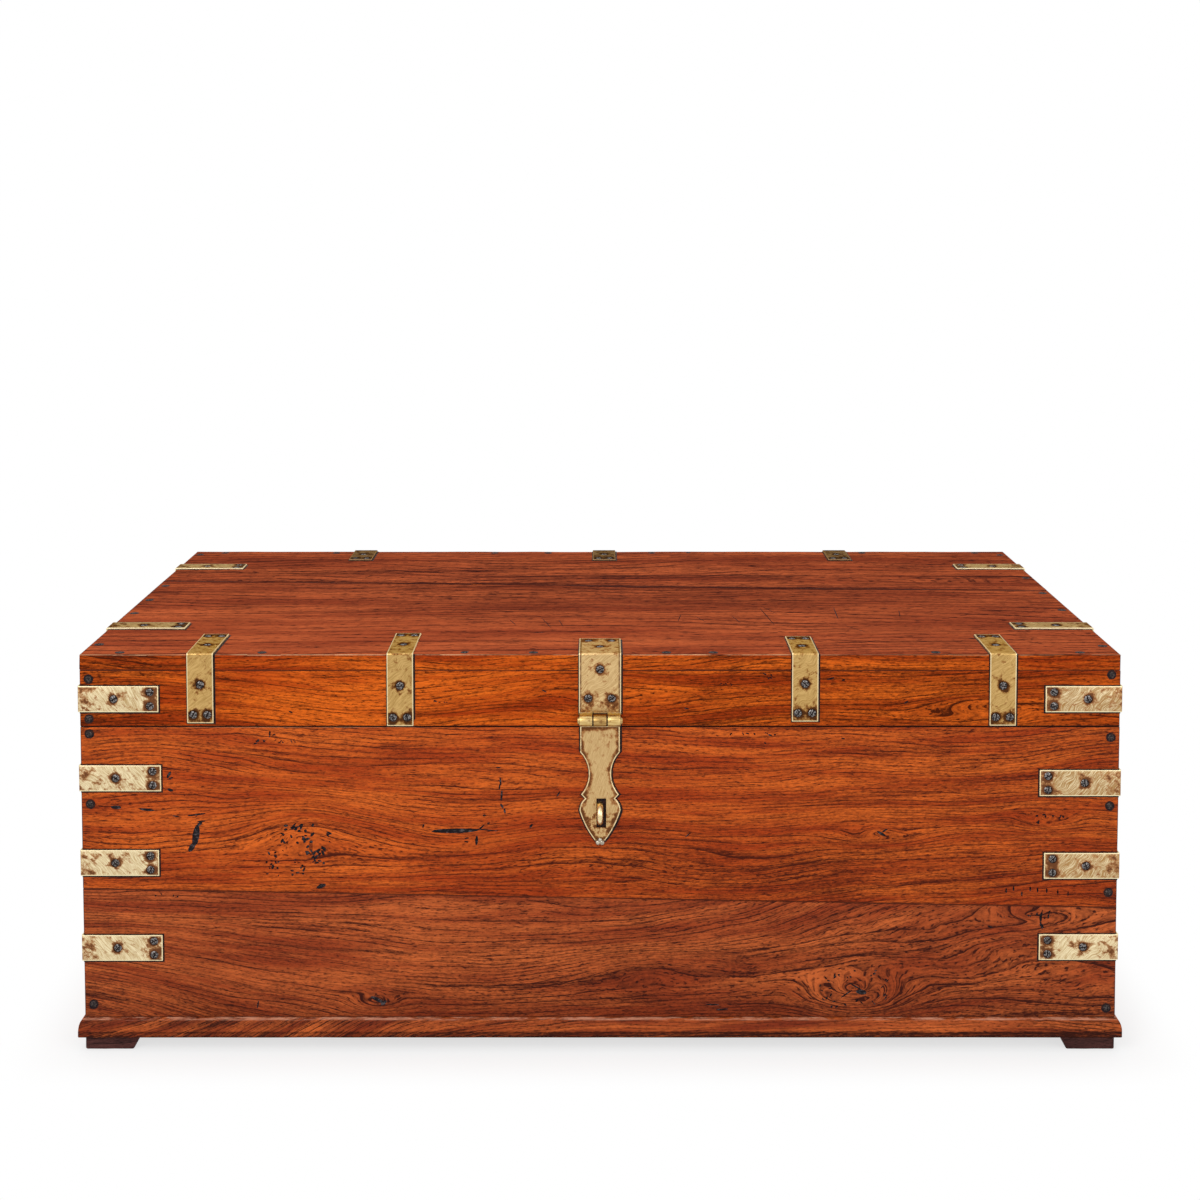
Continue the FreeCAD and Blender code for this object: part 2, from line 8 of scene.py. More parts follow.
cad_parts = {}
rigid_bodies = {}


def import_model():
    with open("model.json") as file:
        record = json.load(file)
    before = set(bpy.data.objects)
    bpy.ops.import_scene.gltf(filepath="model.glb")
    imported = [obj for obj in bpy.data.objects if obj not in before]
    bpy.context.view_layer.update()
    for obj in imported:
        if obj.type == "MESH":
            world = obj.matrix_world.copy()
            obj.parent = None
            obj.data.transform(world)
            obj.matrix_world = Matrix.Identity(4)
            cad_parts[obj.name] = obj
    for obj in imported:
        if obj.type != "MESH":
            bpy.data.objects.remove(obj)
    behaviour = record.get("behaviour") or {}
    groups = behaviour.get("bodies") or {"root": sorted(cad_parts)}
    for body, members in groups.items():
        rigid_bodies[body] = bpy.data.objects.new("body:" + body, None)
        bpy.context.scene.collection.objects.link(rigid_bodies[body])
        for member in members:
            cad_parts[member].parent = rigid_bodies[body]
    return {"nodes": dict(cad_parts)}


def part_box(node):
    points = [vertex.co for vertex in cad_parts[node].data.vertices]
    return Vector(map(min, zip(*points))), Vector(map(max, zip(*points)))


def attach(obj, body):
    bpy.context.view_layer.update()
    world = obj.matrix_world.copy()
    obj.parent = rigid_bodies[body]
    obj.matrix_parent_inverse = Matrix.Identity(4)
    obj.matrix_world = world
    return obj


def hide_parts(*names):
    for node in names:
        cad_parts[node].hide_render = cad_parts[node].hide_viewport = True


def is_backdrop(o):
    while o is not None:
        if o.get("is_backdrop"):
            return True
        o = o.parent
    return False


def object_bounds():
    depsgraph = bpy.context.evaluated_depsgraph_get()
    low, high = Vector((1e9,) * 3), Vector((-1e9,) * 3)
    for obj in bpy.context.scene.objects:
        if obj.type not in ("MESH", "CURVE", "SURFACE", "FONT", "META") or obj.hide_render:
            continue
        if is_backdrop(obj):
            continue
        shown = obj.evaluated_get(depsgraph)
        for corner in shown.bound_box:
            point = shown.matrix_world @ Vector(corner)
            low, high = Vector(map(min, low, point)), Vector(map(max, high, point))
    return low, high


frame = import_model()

cad_low, cad_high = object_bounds()

# The photographer's place: a long lens in front of the chest, a little above its lid, with
# the picture shifted up so that the upright edges stay nearly upright.
eye = (0, -2.238, 0.923)
eye_pitch = math.radians(3.48)
lens_mm = 55.1
sensor_mm = 36
picture_shift = -0.24
sight = (0.05, 60)

bpy.ops.object.select_all(action="DESELECT")
bpy.ops.object.camera_add(location=eye, rotation=(math.pi / 2 - eye_pitch, 0, 0))
camera = bpy.context.object
camera.name = "camera"
camera.data.sensor_width = sensor_mm
camera.data.lens = lens_mm
camera.data.shift_y = picture_shift
camera.data.clip_start, camera.data.clip_end = sight
bpy.context.scene.camera = camera


# The studio: a white floor that runs out of sight, soft boxes in front and overhead, and a
# white surround. The floor keeps only the soft shadow under and beside the chest.
white = (1, 1, 1)
floor_white = (0.95, 0.95, 0.95)
floor_half = 14
floor_drop = 0.0005
shadow_share = 0.31
shadow_reach = 0.09
chest_half = (0.565, 0.295)
surround_light = 0.72
# Each lamp: its name, its place, the point it is aimed at, its size and its power
lamps = (
    ("key_light", (-1.5, -2.4, 2.1), (0, -0.1, 0.2), 1.6, 36),
    ("fill_light", (1.9, -2.2, 1.3), (0, -0.1, 0.2), 1.8, 16),
    ("top_light", (0, 0.5, 2.4), (0, 0, 0.3), 2, 10),
)


class Tone:
    """One value in a finish. Sums and products of tones add the nodes that work them out."""

    def __init__(self, tree, socket=None):
        self.tree = tree
        self.socket = socket

    def node(self, kind, settings=None, output=0, **values):
        """Add a node: its settings first, then the tones, colours or numbers of its sockets."""
        made = self.tree.nodes.new(kind)
        for key, value in (settings or {}).items():
            setattr(made, key, value)
        for key, value in values.items():
            socket = made.inputs[int(key[1:]) if key[1:].isdigit() else key.replace("_", " ")]
            if isinstance(value, Tone):
                self.tree.links.new(value.socket, socket)
            else:
                socket.default_value = (*value, 1) if isinstance(value, tuple) else value
        return Tone(self.tree, made.outputs[output])

    def math(self, operation, a, b=0, clamp=False):
        return self.node("ShaderNodeMath", {"operation": operation, "use_clamp": clamp}, i0=a, i1=b)

    def __add__(self, other):
        return self.math("ADD", self, other)

    def __sub__(self, other):
        return self.math("SUBTRACT", self, other)

    def __rsub__(self, other):
        return self.math("SUBTRACT", other, self)

    def __mul__(self, other):
        return self.math("MULTIPLY", self, other)

    __radd__ = __add__
    __rmul__ = __mul__

    def __truediv__(self, other):
        return self.math("DIVIDE", self, other)

    def __pow__(self, other):
        return self.math("POWER", self, other)

    def __abs__(self):
        return self.math("ABSOLUTE", self)

    def __neg__(self):
        return self * -1

    def held(self):
        """The value held between nothing and one."""
        return self.math("ADD", self, clamp=True)

    def eased(self, start, end):
        """Nothing at start, one at end, and a soft slope between them. Either may be the larger."""
        settings = {"interpolation_type": "SMOOTHSTEP"}
        return self.node("ShaderNodeMapRange", settings, i0=self, i1=start, i2=end)

    def mixed(self, low, high):
        """A colour between two, by this value."""
        return self.node("ShaderNodeMix", {"data_type": "RGBA"}, output=2, i0=self, i6=low, i7=high)

    def cloud(self, x, y, z, detail=2, rough=0.5):
        """Soft noise read at a place, from nothing to one and mostly near a half."""
        place = self.node("ShaderNodeCombineXYZ", i0=x, i1=y, i2=z)
        return self.node("ShaderNodeTexNoise", Vector=place, Scale=1, Detail=detail, Roughness=rough)

    def split(self):
        """The three numbers of a place."""
        return [self.node("ShaderNodeSeparateXYZ", output=i, i0=self) for i in range(3)]

    def measured(self, name, output):
        """A measurement that the piece carries: output 1 is a place, output 2 a number."""
        return self.node("ShaderNodeAttribute", {"attribute_name": name}, output=output)

    def place(self):
        """The three Object coordinates, in metres."""
        return self.node("ShaderNodeTexCoord", output=3).split()

    def millimetres(self):
        return [axis * 1000 for axis in self.place()]

    def direct(self):
        """One where the eye, a mirror or glass looks, nothing where light is gathered."""
        seen, glossy, through = (self.node("ShaderNodeLightPath", output=i) for i in (0, 3, 6))
        return self.math("MAXIMUM", self.math("MAXIMUM", seen, glossy), through)

    def shown(self, output="ShaderNodeOutputMaterial"):
        """Send this shader to the output of its finish."""
        self.tree.links.new(self.socket, self.tree.nodes.new(output).inputs["Surface"])

    def surface(self, colour, roughness, relief=None, **values):
        """Cover a piece: colour, roughness, and strength, depth and height of a fine relief."""
        if relief:
            strength, depth, height = relief
            values["Normal"] = self.node("ShaderNodeBump", Strength=strength, Distance=depth, Height=height)
        self.node("ShaderNodeBsdfPrincipled", Base_Color=colour, Roughness=roughness, **values).shown()


def new_finish(name, kind=bpy.data.materials):
    """An empty finish and a tone to build it with."""
    finish = kind.new(name)
    finish.use_nodes = True
    finish.node_tree.nodes.clear()
    return finish, Tone(finish.node_tree)


def started(name, add, **settings):
    """Add a primitive at its size and place, and keep its place in its mesh."""
    bpy.ops.object.select_all(action="DESELECT")
    add(**settings)
    piece = bpy.context.object
    piece.name = piece.data.name = name
    bpy.ops.object.transform_apply(location=True, rotation=True, scale=True)
    return piece


def clad(piece, *finishes):
    for finish in finishes:
        piece.data.materials.append(finish)
    return piece


floor_size = {"size": 2 * floor_half, "location": (0, 0, -floor_drop)}
floor = started("studio_floor", bpy.ops.mesh.primitive_plane_add, **floor_size)
floor_finish, tone = new_finish("studio_floor")
x, y, z = tone.place()
beside = tone.math("MAXIMUM", abs(x) - chest_half[0])
before = tone.math("MAXIMUM", abs(y) - chest_half[1])
far = ((beside * beside + before * before) ** 0.5).eased(0, shadow_reach)
lit = tone.direct() * (1 - (1 - far) * shadow_share)
matt = tone.node("ShaderNodeBsdfDiffuse", Color=floor_white)
glow = tone.node("ShaderNodeEmission", Color=white, Strength=1)
tone.node("ShaderNodeMixShader", i0=lit, i1=matt, i2=glow).shown()
clad(floor, floor_finish)
floor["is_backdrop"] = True

surround, tone = new_finish("studio", bpy.data.worlds)
bpy.context.scene.world = surround
strength = surround_light + tone.direct() * (1 - surround_light)
tone.node("ShaderNodeBackground", Color=white, Strength=strength).shown("ShaderNodeOutputWorld")

for name, place, target, size, power in lamps:
    bpy.ops.object.light_add(type="AREA", location=place)
    lamp = bpy.context.object
    lamp.name = name
    lamp.data.size = size
    lamp.data.energy = power
    lamp.rotation_euler = (Vector(target) - Vector(place)).to_track_quat("-Z", "Y").to_euler()
bpy.context.scene.view_settings.view_transform = "Standard"


# Case front: two wide teak boards, edge to edge on a slanting joint, planed by hand, oiled
# and worn. Knots, pits and old chisel marks show on the face.
teak_tones = ((0.06, 0.009, 0.004), (0.35, 0.044, 0.007), (0.6, 0.116, 0.016))
lower_tones = ((0.04, 0.008, 0.005), (0.27, 0.043, 0.012), (0.5, 0.112, 0.028))
edge_tones = ((0.04, 0.009, 0.005), (0.15, 0.03, 0.01))
crown_highlight = (0.58, 0.27, 0.17)
rubbed_pale_and_highlight = (0.8, 0.43, 0.23)
joint_black = (0.012, 0.005, 0.004)
dull_sheen = {"Specular_IOR_Level": 0.1}
edge_round = 0.0008
edge_wander = 0.00025
long_enough = 0.05
length_steps = 30
joint_lap = 0.0003
seam_half = 0.0009
hollow_depths = (0.0007, 0.0016)
# Where the edges of lid and case are rubbed pale and painted with a highlight, and the height of the dark
# line between them
lid_arris = ((0.4341, 0.4346), (-0.2887, -0.2892))
case_arris = ((0.3556, 0.3562), (0.3574, 0.3572), (-0.289, -0.2896))
case_pale_reach = ((-0.16, -0.26), (-0.5, -0.42))
joint_heights = ((0.3564, 0.3566), (0.3582, 0.3578))
nearby = 1e-5


def selected_only(*pieces):
    """Leave just these pieces selected, the first one active."""
    bpy.ops.object.select_all(action="DESELECT")
    for piece in pieces:
        piece.select_set(True)
    bpy.context.view_layer.objects.active = pieces[0]


@contextmanager
def edited(piece, kind=None, wanted=None):
    """Edit a piece with the wanted vertices, edges or faces selected, or else with all of it."""
    selected_only(piece)
    bpy.ops.object.mode_set(mode="EDIT")
    if kind is None:
        bpy.ops.mesh.select_all(action="SELECT")
    else:
        bpy.ops.mesh.select_mode(type=kind)
        bpy.ops.mesh.select_all(action="DESELECT")
        bpy.ops.object.mode_set(mode="OBJECT")
        mesh = piece.data
        if kind == "VERT":
            for vertex in mesh.vertices:
                vertex.select = wanted(vertex.co)
        elif kind == "EDGE":
            for edge in mesh.edges:
                edge.select = wanted(*(mesh.vertices[i].co for i in edge.vertices))
        else:
            for face in mesh.polygons:
                face.select = wanted(face.center, face.normal)
        bpy.ops.object.mode_set(mode="EDIT")
    yield
    bpy.ops.object.mode_set(mode="OBJECT")


def applied(piece, kind, **settings):
    """Add a modifier to a piece and apply it."""
    selected_only(piece)
    modifier = piece.modifiers.new(kind.lower(), kind)
    for key, value in settings.items():
        setattr(modifier, key, value)
    bpy.ops.object.modifier_apply(modifier=modifier.name)


def rounded(piece, radius, segments, turn=40, **settings):
    """Round the edges of a piece that turn by more than some degrees."""
    limits = {"limit_method": "ANGLE", "angle_limit": math.radians(turn)}
    applied(piece, "BEVEL", width=radius, segments=segments, **limits, **settings)


def carved(piece, tool, operation="DIFFERENCE", **settings):
    """Cut a tool's shape out of a piece, or weld it on, and put the tool away."""
    applied(piece, "BOOLEAN", operation=operation, object=tool, solver="EXACT", **settings)
    bpy.data.objects.remove(tool)


def smoothed(piece, turn=35):
    """Shade a piece smooth, but for edges that turn by more than some degrees."""
    selected_only(piece)
    bpy.ops.object.shade_smooth_by_angle(angle=math.radians(turn))


def joined(name, pieces):
    """Join loose pieces into one."""
    selected_only(*pieces)
    if len(pieces) > 1:
        bpy.ops.object.join()
    pieces[0].name = pieces[0].data.name = name
    return pieces[0]


def finished(piece, body, slot, *nodes):
    """Put a piece on its body, in the place of the construction nodes that it stands for."""
    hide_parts(*nodes)
    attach(piece, body)


def start_block(name, low, high):
    """A rectangular blank between two corners."""
    low, high = Vector(low), Vector(high)
    block = {"size": 1, "location": (low + high) / 2, "scale": high - low}
    return started(name, bpy.ops.mesh.primitive_cube_add, **block)


def cut_across(piece, point, normal):
    """Saw a piece through a plane and close the cut, losing the side that the normal points to."""
    with edited(piece):
        bpy.ops.mesh.bisect(plane_co=point, plane_no=normal.normalized(), use_fill=True, clear_outer=True)


def worn_edges(piece, along, steps, radius, wander, seed, edge=None):
    """Round a board's edges, and let them wander a little as old edges do."""
    if edge:
        clad(piece, edge)

    def runs_along(a, b):
        return abs(a[along] - b[along]) > 0.9 * (b - a).length and (b - a).length > long_enough

    with edited(piece, "EDGE", runs_along):
        bpy.ops.mesh.subdivide(number_cuts=steps)
    rounded(piece, radius, 3, material=len(piece.data.materials) - 1 if edge else -1)
    with edited(piece):
        bpy.ops.transform.vertex_random(offset=wander, uniform=0, normal=1, seed=seed)
        bpy.ops.mesh.normals_make_consistent(inside=False)
    smoothed(piece)


def spread(along, across, spot):
    """How far a place is from the middle of a spot, squared, where its half sizes count as one."""
    off_along, off_across = (along - spot[0]) / spot[2], (across - spot[1]) / spot[3]
    return off_along * off_along + off_across * off_across


def teak(
    name, axes, seed, knots=(), grime_and_shade=(), tones=teak_tones, crown=None, shine=0.04, coarse=1, leans=(),
    patches=(), wave_share=1, seam=None,
):
    """Old oiled teak: grain along the first axis, across the second, depth on the third.

    A knot or a patch is its middle, its half sizes and its strength, and grime and shade an axis,
    its two ends and its strength. A crown, a painted highlight, is an axis and its two ends. A lean
    is the middle, reach and slope of a slanting run of the grain, and the two places that it grows
    between. A seam is the place of a joint, its fall, and the half width of the dirt along it.
    """
    finish, tone = new_finish(name)
    place = tone.place()
    along, across, deep = (place[i] * 1000 for i in axes)
    along = along / coarse ** 0.5
    dark, middle, bright = tones
    drift = tone.cloud(along / 430, across / 170, deep / 150 + seed, detail=1) - 0.5
    ripple = tone.cloud(along / 85, across / 30, deep / 40 + seed, detail=1) - 0.5
    shiver = tone.cloud(along / 14, across / 9, seed + 2, detail=1) - 0.5
    rings = across + deep * 0.5 + drift * (76 * wave_share) + ripple * 7 + shiver * 0.9
    for lean_along, reach, slope, still, full in leans:
        swing = tone.math("TANH", (along - lean_along * 1000) / (reach * 1000)) * (reach * slope * 1000)
        rings = rings + swing * place[axes[1]].eased(still, full)
    for *knot, heart in knots:
        knot = [length * 1000 for length in knot]
        far = spread(along, across, knot)
        rings = rings - (across - knot[1]) * tone.math("EXPONENT", -far) * 0.95
        rings = rings + tone.math("EXPONENT", far * -2.4) * heart * (far ** 0.5) * (knot[3] * 1.7)
    rings = rings / coarse
    growth = rings / 4.6 + tone.cloud(along / 300, rings / 60, seed + 1, detail=1) * 9
    since = tone.math("FRACT", growth)
    number = growth - since
    strength = tone.cloud(along / 120, number * 0.61, seed + 7, rough=0.6).eased(0.38, 0.64)
    line = (1 - since) ** 7 * (0.2 + strength * 0.95)
    streak = tone.cloud(along / 240, rings / 7, seed + 4, detail=3, rough=0.6).eased(0.54, 0.72)
    fibre = tone.cloud(along / 24, rings / 0.75, seed + 5, rough=0.65) - 0.5
    pore = tone.cloud(along / 6, rings / 0.7, deep + seed, detail=1).eased(0.58, 0.66)
    zone = tone.cloud(along / 200, rings / 14, seed + 9, detail=3, rough=0.6).eased(0.32, 0.68)
    mottle = tone.cloud(along / 5, across / 2.6, deep / 5 + seed, detail=3, rough=0.75) - 0.5
    patch = tone.cloud(along / 60, across / 30, deep / 60 + seed, detail=3, rough=0.6) - 0.5
    shade = 0.19 + line * 1.15 + streak * 0.42 + fibre * 1.9 + pore * 0.55 + mottle * 1.25 + patch * 0.5
    for axis, start, end, amount in grime_and_shade:
        shade = shade + place[axis].eased(start, end) * amount
    for spot in patches:
        shade = shade + tone.math("EXPONENT", -spread(place[axes[0]], place[axes[1]], spot)) * spot[4]
    if seam:
        start, fall, half_width = seam
        off_seam = (place[axes[1]] - start + place[axes[0]] * fall) / half_width
        soiled = tone.cloud(along / 40, seed, deep / 60, detail=3, rough=0.6).eased(0.3, 0.56)
        shade = shade + tone.math("EXPONENT", -(off_seam * off_seam)) * (0.3 + soiled * 0.55)
    shade = shade.held()
    colour = shade.mixed(zone.mixed(middle, bright), dark)
    # The crown: a painted highlight along the top of a round, broken up in patches.
    if crown:
        axis, start, end = crown
        patchy = tone.cloud(along / 30, across / 2, deep / 12 + seed, detail=5, rough=0.8)
        colour = (place[axis].eased(start, end) * patchy.eased(0.41, 0.63) * 0.82).mixed(colour, crown_highlight)
    plane_marks = tone.cloud(along / 50, across / 34, deep / 30 + seed, detail=1)
    height = plane_marks * 0.5 - shade * 0.35 - pore * 0.3
    roughness = 0.4 + shade * 0.22 + mottle * 0.15
    tone.surface(colour, roughness, (0.4, 0.0008, height), Specular_IOR_Level=shine)
    return finish


edge_teak, tone = new_finish("edge_teak")
x, y, z = tone.place()
patchy = tone.cloud(x * 22, y * 22, z * 60, detail=4, rough=0.7)
# Pale along the lid's front top edge and part of the case's top edge: rubbed wear, and a painted highlight
# on the rounded edges.
rubbed_and_highlit = tone.cloud(x * 6, y * 6, 7, detail=3, rough=0.6).eased(0.36, 0.6) * 0.75 + 0.25
lid_edge = z.eased(*lid_arris[0]) * y.eased(*lid_arris[1]) * rubbed_and_highlit * (1 - x.eased(0.19, 0.26) * 0.6)
case_edge = z.eased(*case_arris[0]) * z.eased(*case_arris[1]) * y.eased(*case_arris[2])
case_edge = case_edge * x.eased(*case_pale_reach[0]) * x.eased(*case_pale_reach[1]) * 0.45
pale = (lid_edge + case_edge) * patchy.eased(0.36, 0.56) * 0.92
colour = pale.mixed(patchy.mixed(*edge_tones), rubbed_pale_and_highlight)
lid_meets_case = z.eased(*joint_heights[0]) * z.eased(*joint_heights[1])
tone.surface(lid_meets_case.mixed(colour, joint_black), 0.5, Specular_IOR_Level=0.04)


def crusted(name, lump, span, low, high, roughness=0.6, polish=0, relief=(), detail=3, rough=0.6, **values):
    """A crust of two colours, in lumps of a size in millimetres, polished where it is paler."""
    finish, tone = new_finish(name)
    grit = tone.cloud(*(axis / size for axis, size in zip(tone.millimetres(), lump)), detail, rough)
    worn = grit.eased(*span)
    roughness = roughness - worn * polish if polish else roughness
    tone.surface(worn.mixed(low, high), roughness, relief and (*relief, grit), **values)
    return finish


# Dark wax: old wax and dirt round the nails and straps, and painted shade and shadow round the straps and
# the hasp leaf, behind the leaf's slot, in the screw slots and between the hinge knuckles.
wax_and_painted_shade = crusted(
    "wax_and_painted_shade", (3, 3, 3), (0.35, 0.7), (0.006, 0.004, 0.007), (0.035, 0.014, 0.01), **dull_sheen
)
# Dark grime that lines the hollows: dirt, and painted shade in the hollows as well.
grime_and_painted_shade = crusted(
    "grime_and_painted_shade", (4, 2, 2), (0.48, 0.7), (0.009, 0.006, 0.008), (0.085, 0.07, 0.074), rough=0.65,
    **dull_sheen,
)


def gouged(piece, hollows, on_top=False):
    """Cut small hollows in a board's front or top: place, half length, half height, lean in degrees. Their
    lining of dark grime is dirt and also their painted shade.
    """
    blobs = []
    for i, (along, across, half_length, half_height, lean) in enumerate(hollows):
        deep = min(hollow_depths[1], hollow_depths[0] + half_height / 3000)
        location = [along / 1000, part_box("front_upper_board")[0].y, across / 1000]
        rotation = [0, math.radians(lean), 0]
        scale = [half_length / 1000, deep, half_height / 1000]
        if on_top:
            location[1:] = across / 1000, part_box("lid_front_board")[1].z
            rotation = [0, 0, math.radians(lean)]
            scale[1:] = half_height / 1000, deep
        ball = {"subdivisions": 2, "radius": 1, "location": location, "rotation": rotation, "scale": scale}
        blob = started("blob", bpy.ops.mesh.primitive_ico_sphere_add, **ball)
        with edited(blob):
            bpy.ops.transform.vertex_random(offset=half_height / 5000, uniform=0, normal=0, seed=i)
        blobs.append(clad(blob, grime_and_painted_shade))
    carved(piece, joined("hollows", blobs), use_self=True, material_mode="TRANSFER")


def pits(*patches):
    """Places for loose patches of small pits, no two alike."""
    places = []
    for x, z, half_length, half_height, count, size in patches:
        for i in range(count):
            a, b, c, d, e = (math.sin(91.7 * i + 37.3 * k + x) * 4375.85 % 1 for k in range(5))
            place = (x + half_length * (2 * a - 1), z + half_height * (2 * b - 1))
            places.append((*place, size * (0.6 + 0.9 * c), size * (0.4 + 0.4 * d), 150 * e - 75))
    return places


def board_between(name, node, joint, keep_below):
    """A board in the place of a construction node, sawn along a slanting joint."""
    piece = start_block(name, *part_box(node))
    (x0, h0), (x1, h1), axis = joint
    slope, point = Vector((h0 - h1, 0, 0)), Vector((x0, 0, 0))
    slope[axis], point[axis] = x1 - x0, h0
    outward = (slope if keep_below else -slope).normalized()
    cut_across(piece, point + outward * joint_lap, outward)
    return piece


front_knots = [
    (-0.324, 0.22, 0.09, 0.04, 0),
    (0.483, 0.257, 0.04, 0.014, 1),
    (0.304, 0.24, 0.06, 0.016, 0.6),
    (0.275, 0.068, 0.062, 0.03, 0.65),
    (0.464, 0.15, 0.06, 0.016, 0.4),
    (-0.242, 0.055, 0.03, 0.012, 0.8),
    (0.04, 0.075, 0.11, 0.03, 0),
]
# Hollows of the front: a gash, a long dash with its crack, old slots, and patches of pits
upper_hollows = [
    (-437, 237.5, 13.5, 3.9, -80), (-441.5, 224.5, 6, 3, -58), (-432.5, 250.5, 3, 1.9, -30),
    (-436, 260.4, 10.5, 1.1, -8), (-431, 253, 4.5, 1, -4),
    (-156.5, 242.8, 27, 2.6, -2), (-121.5, 243.4, 12, 0.8, 6), (-128, 246.5, 4, 1, -40),
    (-133.5, 232, 5.5, 1.6, -86), (-144, 234.5, 2.6, 0.9, -10), (-144.5, 230.5, 2.4, 1, 10),
    (-522.8, 268.5, 6, 2, 3), (-489.5, 266, 9, 1.5, 6), (-458, 258.5, 4, 0.9, 10),
    (-465.2, 304.2, 4.5, 1.7, -60), (-463, 300.5, 2.5, 1, -20), (-464, 287.5, 3.6, 1.7, 20),
    (-107.5, 297, 5, 1, 84), (-108.5, 291, 3.6, 1, -84), (-106.3, 281.5, 6.4, 1.2, -86),
    (-106, 270, 3, 1.4, 60), (-103, 264.4, 3.3, 1.2, 80), (-74.5, 248, 2.8, 1.4, -50),
    (-45, 283, 3.8, 0.9, -60), (-191, 248, 2.4, 1, -70), (-125, 259.5, 1.8, 1.2, 0),
    (-120.5, 251, 1.8, 1, -20), (-109.5, 312, 2.4, 0.9, 0), (-302, 181.5, 5.5, 2.4, -20),
    (304.5, 239.3, 6, 1.5, 30), (308, 243, 3.6, 1, -30), (95, 238, 4, 0.7, -40),
]
upper_hollows += pits((157, 349, 32, 2, 13, 1.3), (-336, 341.5, 14, 2, 8, 1.1))
upper_hollows += [(-356, 349, 0.9, 4, 5), (178, 339, 1.6, 0.8, 40), (262, 344, 2.2, 0.8, 10)]
upper_hollows += [(x, 176 + 3 * math.sin(x), 1, 2.8, 0) for x in (440, 448, 457, 466, 474, 484, 496, 507)]
upper_hollows += pits(
    (-327, 239, 18, 10, 27, 2.1), (-291, 237, 5, 4, 5, 1.7), (-306, 217, 12, 10, 21, 2.3),
    (-354, 205, 7, 15, 14, 1.6), (-326, 199.5, 8, 7, 8, 1.7), (-328, 222, 42, 28, 14, 1),
    (483, 256.6, 20, 6, 10, 1.6), (-361, 343.5, 11, 5, 6, 1.6),
)
lower_hollows = [
    (-242, 55.5, 8.5, 2.2, 24), (-235, 52, 4, 2, -40), (122, 50, 8, 1, 3),
    (132.8, 44.6, 7, 1, -5), (284, 64, 6, 3, 10), (278, 70, 9, 0.9, 30),
    (268, 62, 8, 0.9, -35), (-372, 50, 4.5, 0.9, -80), (478, 146.5, 1.7, 9.5, 6),
    (479.5, 137, 1.6, 3, -10), (487, 150, 0.9, 5.5, 12), (423, 136.5, 3, 1, 20),
]
lower_hollows += pits(
    (458, 150, 24, 5, 7, 1.3), (-465, 172, 22, 2, 6, 1.2), (275, 84, 30, 4, 11, 1.5),
    (245, 68, 7, 13, 8, 1.5), (308, 66, 6, 12, 7, 1.5), (274, 51, 26, 4, 9, 1.5),
)
front_leans = [(-0.47, 0.13, 0.38, 0.2, 0.03), (0.27, 0.14, -0.24, 0, 0.16)]
# The fourth and fifth patches, behind the hasp leaf and under its tip, are dust and painted shade cast by
# the leaf.
upper_patches = [
    (0.22, 0.195, 0.16, 0.045, 0.26), (-0.36, 0.31, 0.1, 0.04, -0.05), (0.02, 0.32, 0.5, 0.03, 0.03),
    (0.004, 0.295, 0.028, 0.07, 0.14), (0.02, 0.212, 0.08, 0.018, 0.19), (0.09, 0.185, 0.2, 0.016, 0.09),
]
lower_patches = [(-0.35, 0.1, 0.16, 0.05, -0.07), (0.1, 0.1, 0.28, 0.06, 0.1), (0.52, 0.06, 0.1, 0.03, 0.02)]
front_grime = [(2, 0.085, 0.036, 0.2), (0, 0.1, 0.45, 0.12), (0, -0.5, -0.57, 0.1)]
lower_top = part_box("front_lower_board")[1]
upper_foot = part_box("front_upper_board")[0]
front_fall = (lower_top.z - upper_foot.z) / (lower_top.x - upper_foot.x)
front_seam = ((lower_top.z + upper_foot.z) / 2, front_fall, seam_half)
front_teak = {
    "upper": teak(
        "teak_front_upper", (0, 2, 1), 11.3, front_knots, front_grime, patches=upper_patches, seam=front_seam
    ),
    "lower": teak(
        "teak_front_lower", (0, 2, 1), 41.7, front_knots, front_grime, lower_tones, leans=front_leans,
        patches=lower_patches, wave_share=0.5, seam=front_seam,
    ),
}


def walls(side, falls_right, teaks, seed, hollows=None):
    """Upper and lower board of the front or back wall, each in its own teak."""
    lower_low, lower_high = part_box(side + "_lower_board")
    ends = [lower_high.z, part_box(side + "_upper_board")[0].z]
    if not falls_right:
        ends.reverse()
    joint = ((lower_low.x, ends[0]), (lower_high.x, ends[1]), 2)
    for level in ("lower", "upper"):
        node = f"{side}_{level}_board"
        piece = clad(board_between(f"{side}_{level}_teak", node, joint, level == "lower"), teaks[level])
        worn_edges(piece, 0, length_steps, edge_round, edge_wander, seed, edge_teak)
        if hollows:
            gouged(piece, hollows[level])
        finished(piece, "case", "teak", node)


walls("front", True, front_teak, 3, {"upper": upper_hollows, "lower": lower_hollows})


# Case back: two more teak boards, rougher and less lively than the front, on a joint that
# slants the other way.
back_teak = {
    "upper": teak("teak_back_upper", (0, 2, 1), 71.3, [(0.21, 0.26, 0.08, 0.02, 1)]),
    "lower": teak("teak_back_lower", (0, 2, 1), 93.1, [(-0.3, 0.09, 0.07, 0.02, 1)]),
}
walls("back", False, back_teak, 7)


# Case ends: upper and lower board of each end wall, held between the front and the back
# with nails. Their grain runs from front to back.
end_knots = [(0.05, 0.3, 0.07, 0.018, 1), (-0.12, 0.12, 0.06, 0.016, 0.8)]
foot_grime = (2, 0.085, 0.036, 0.2)


def plain_board(node, body, finish, along, seed, steps=length_steps):
    """A straight-sawn board in the place of a construction node."""
    piece = clad(start_block(node + "_teak", *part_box(node)), finish)
    worn_edges(piece, along, steps, edge_round, edge_wander, seed, edge_teak)
    finished(piece, body, "teak", node)


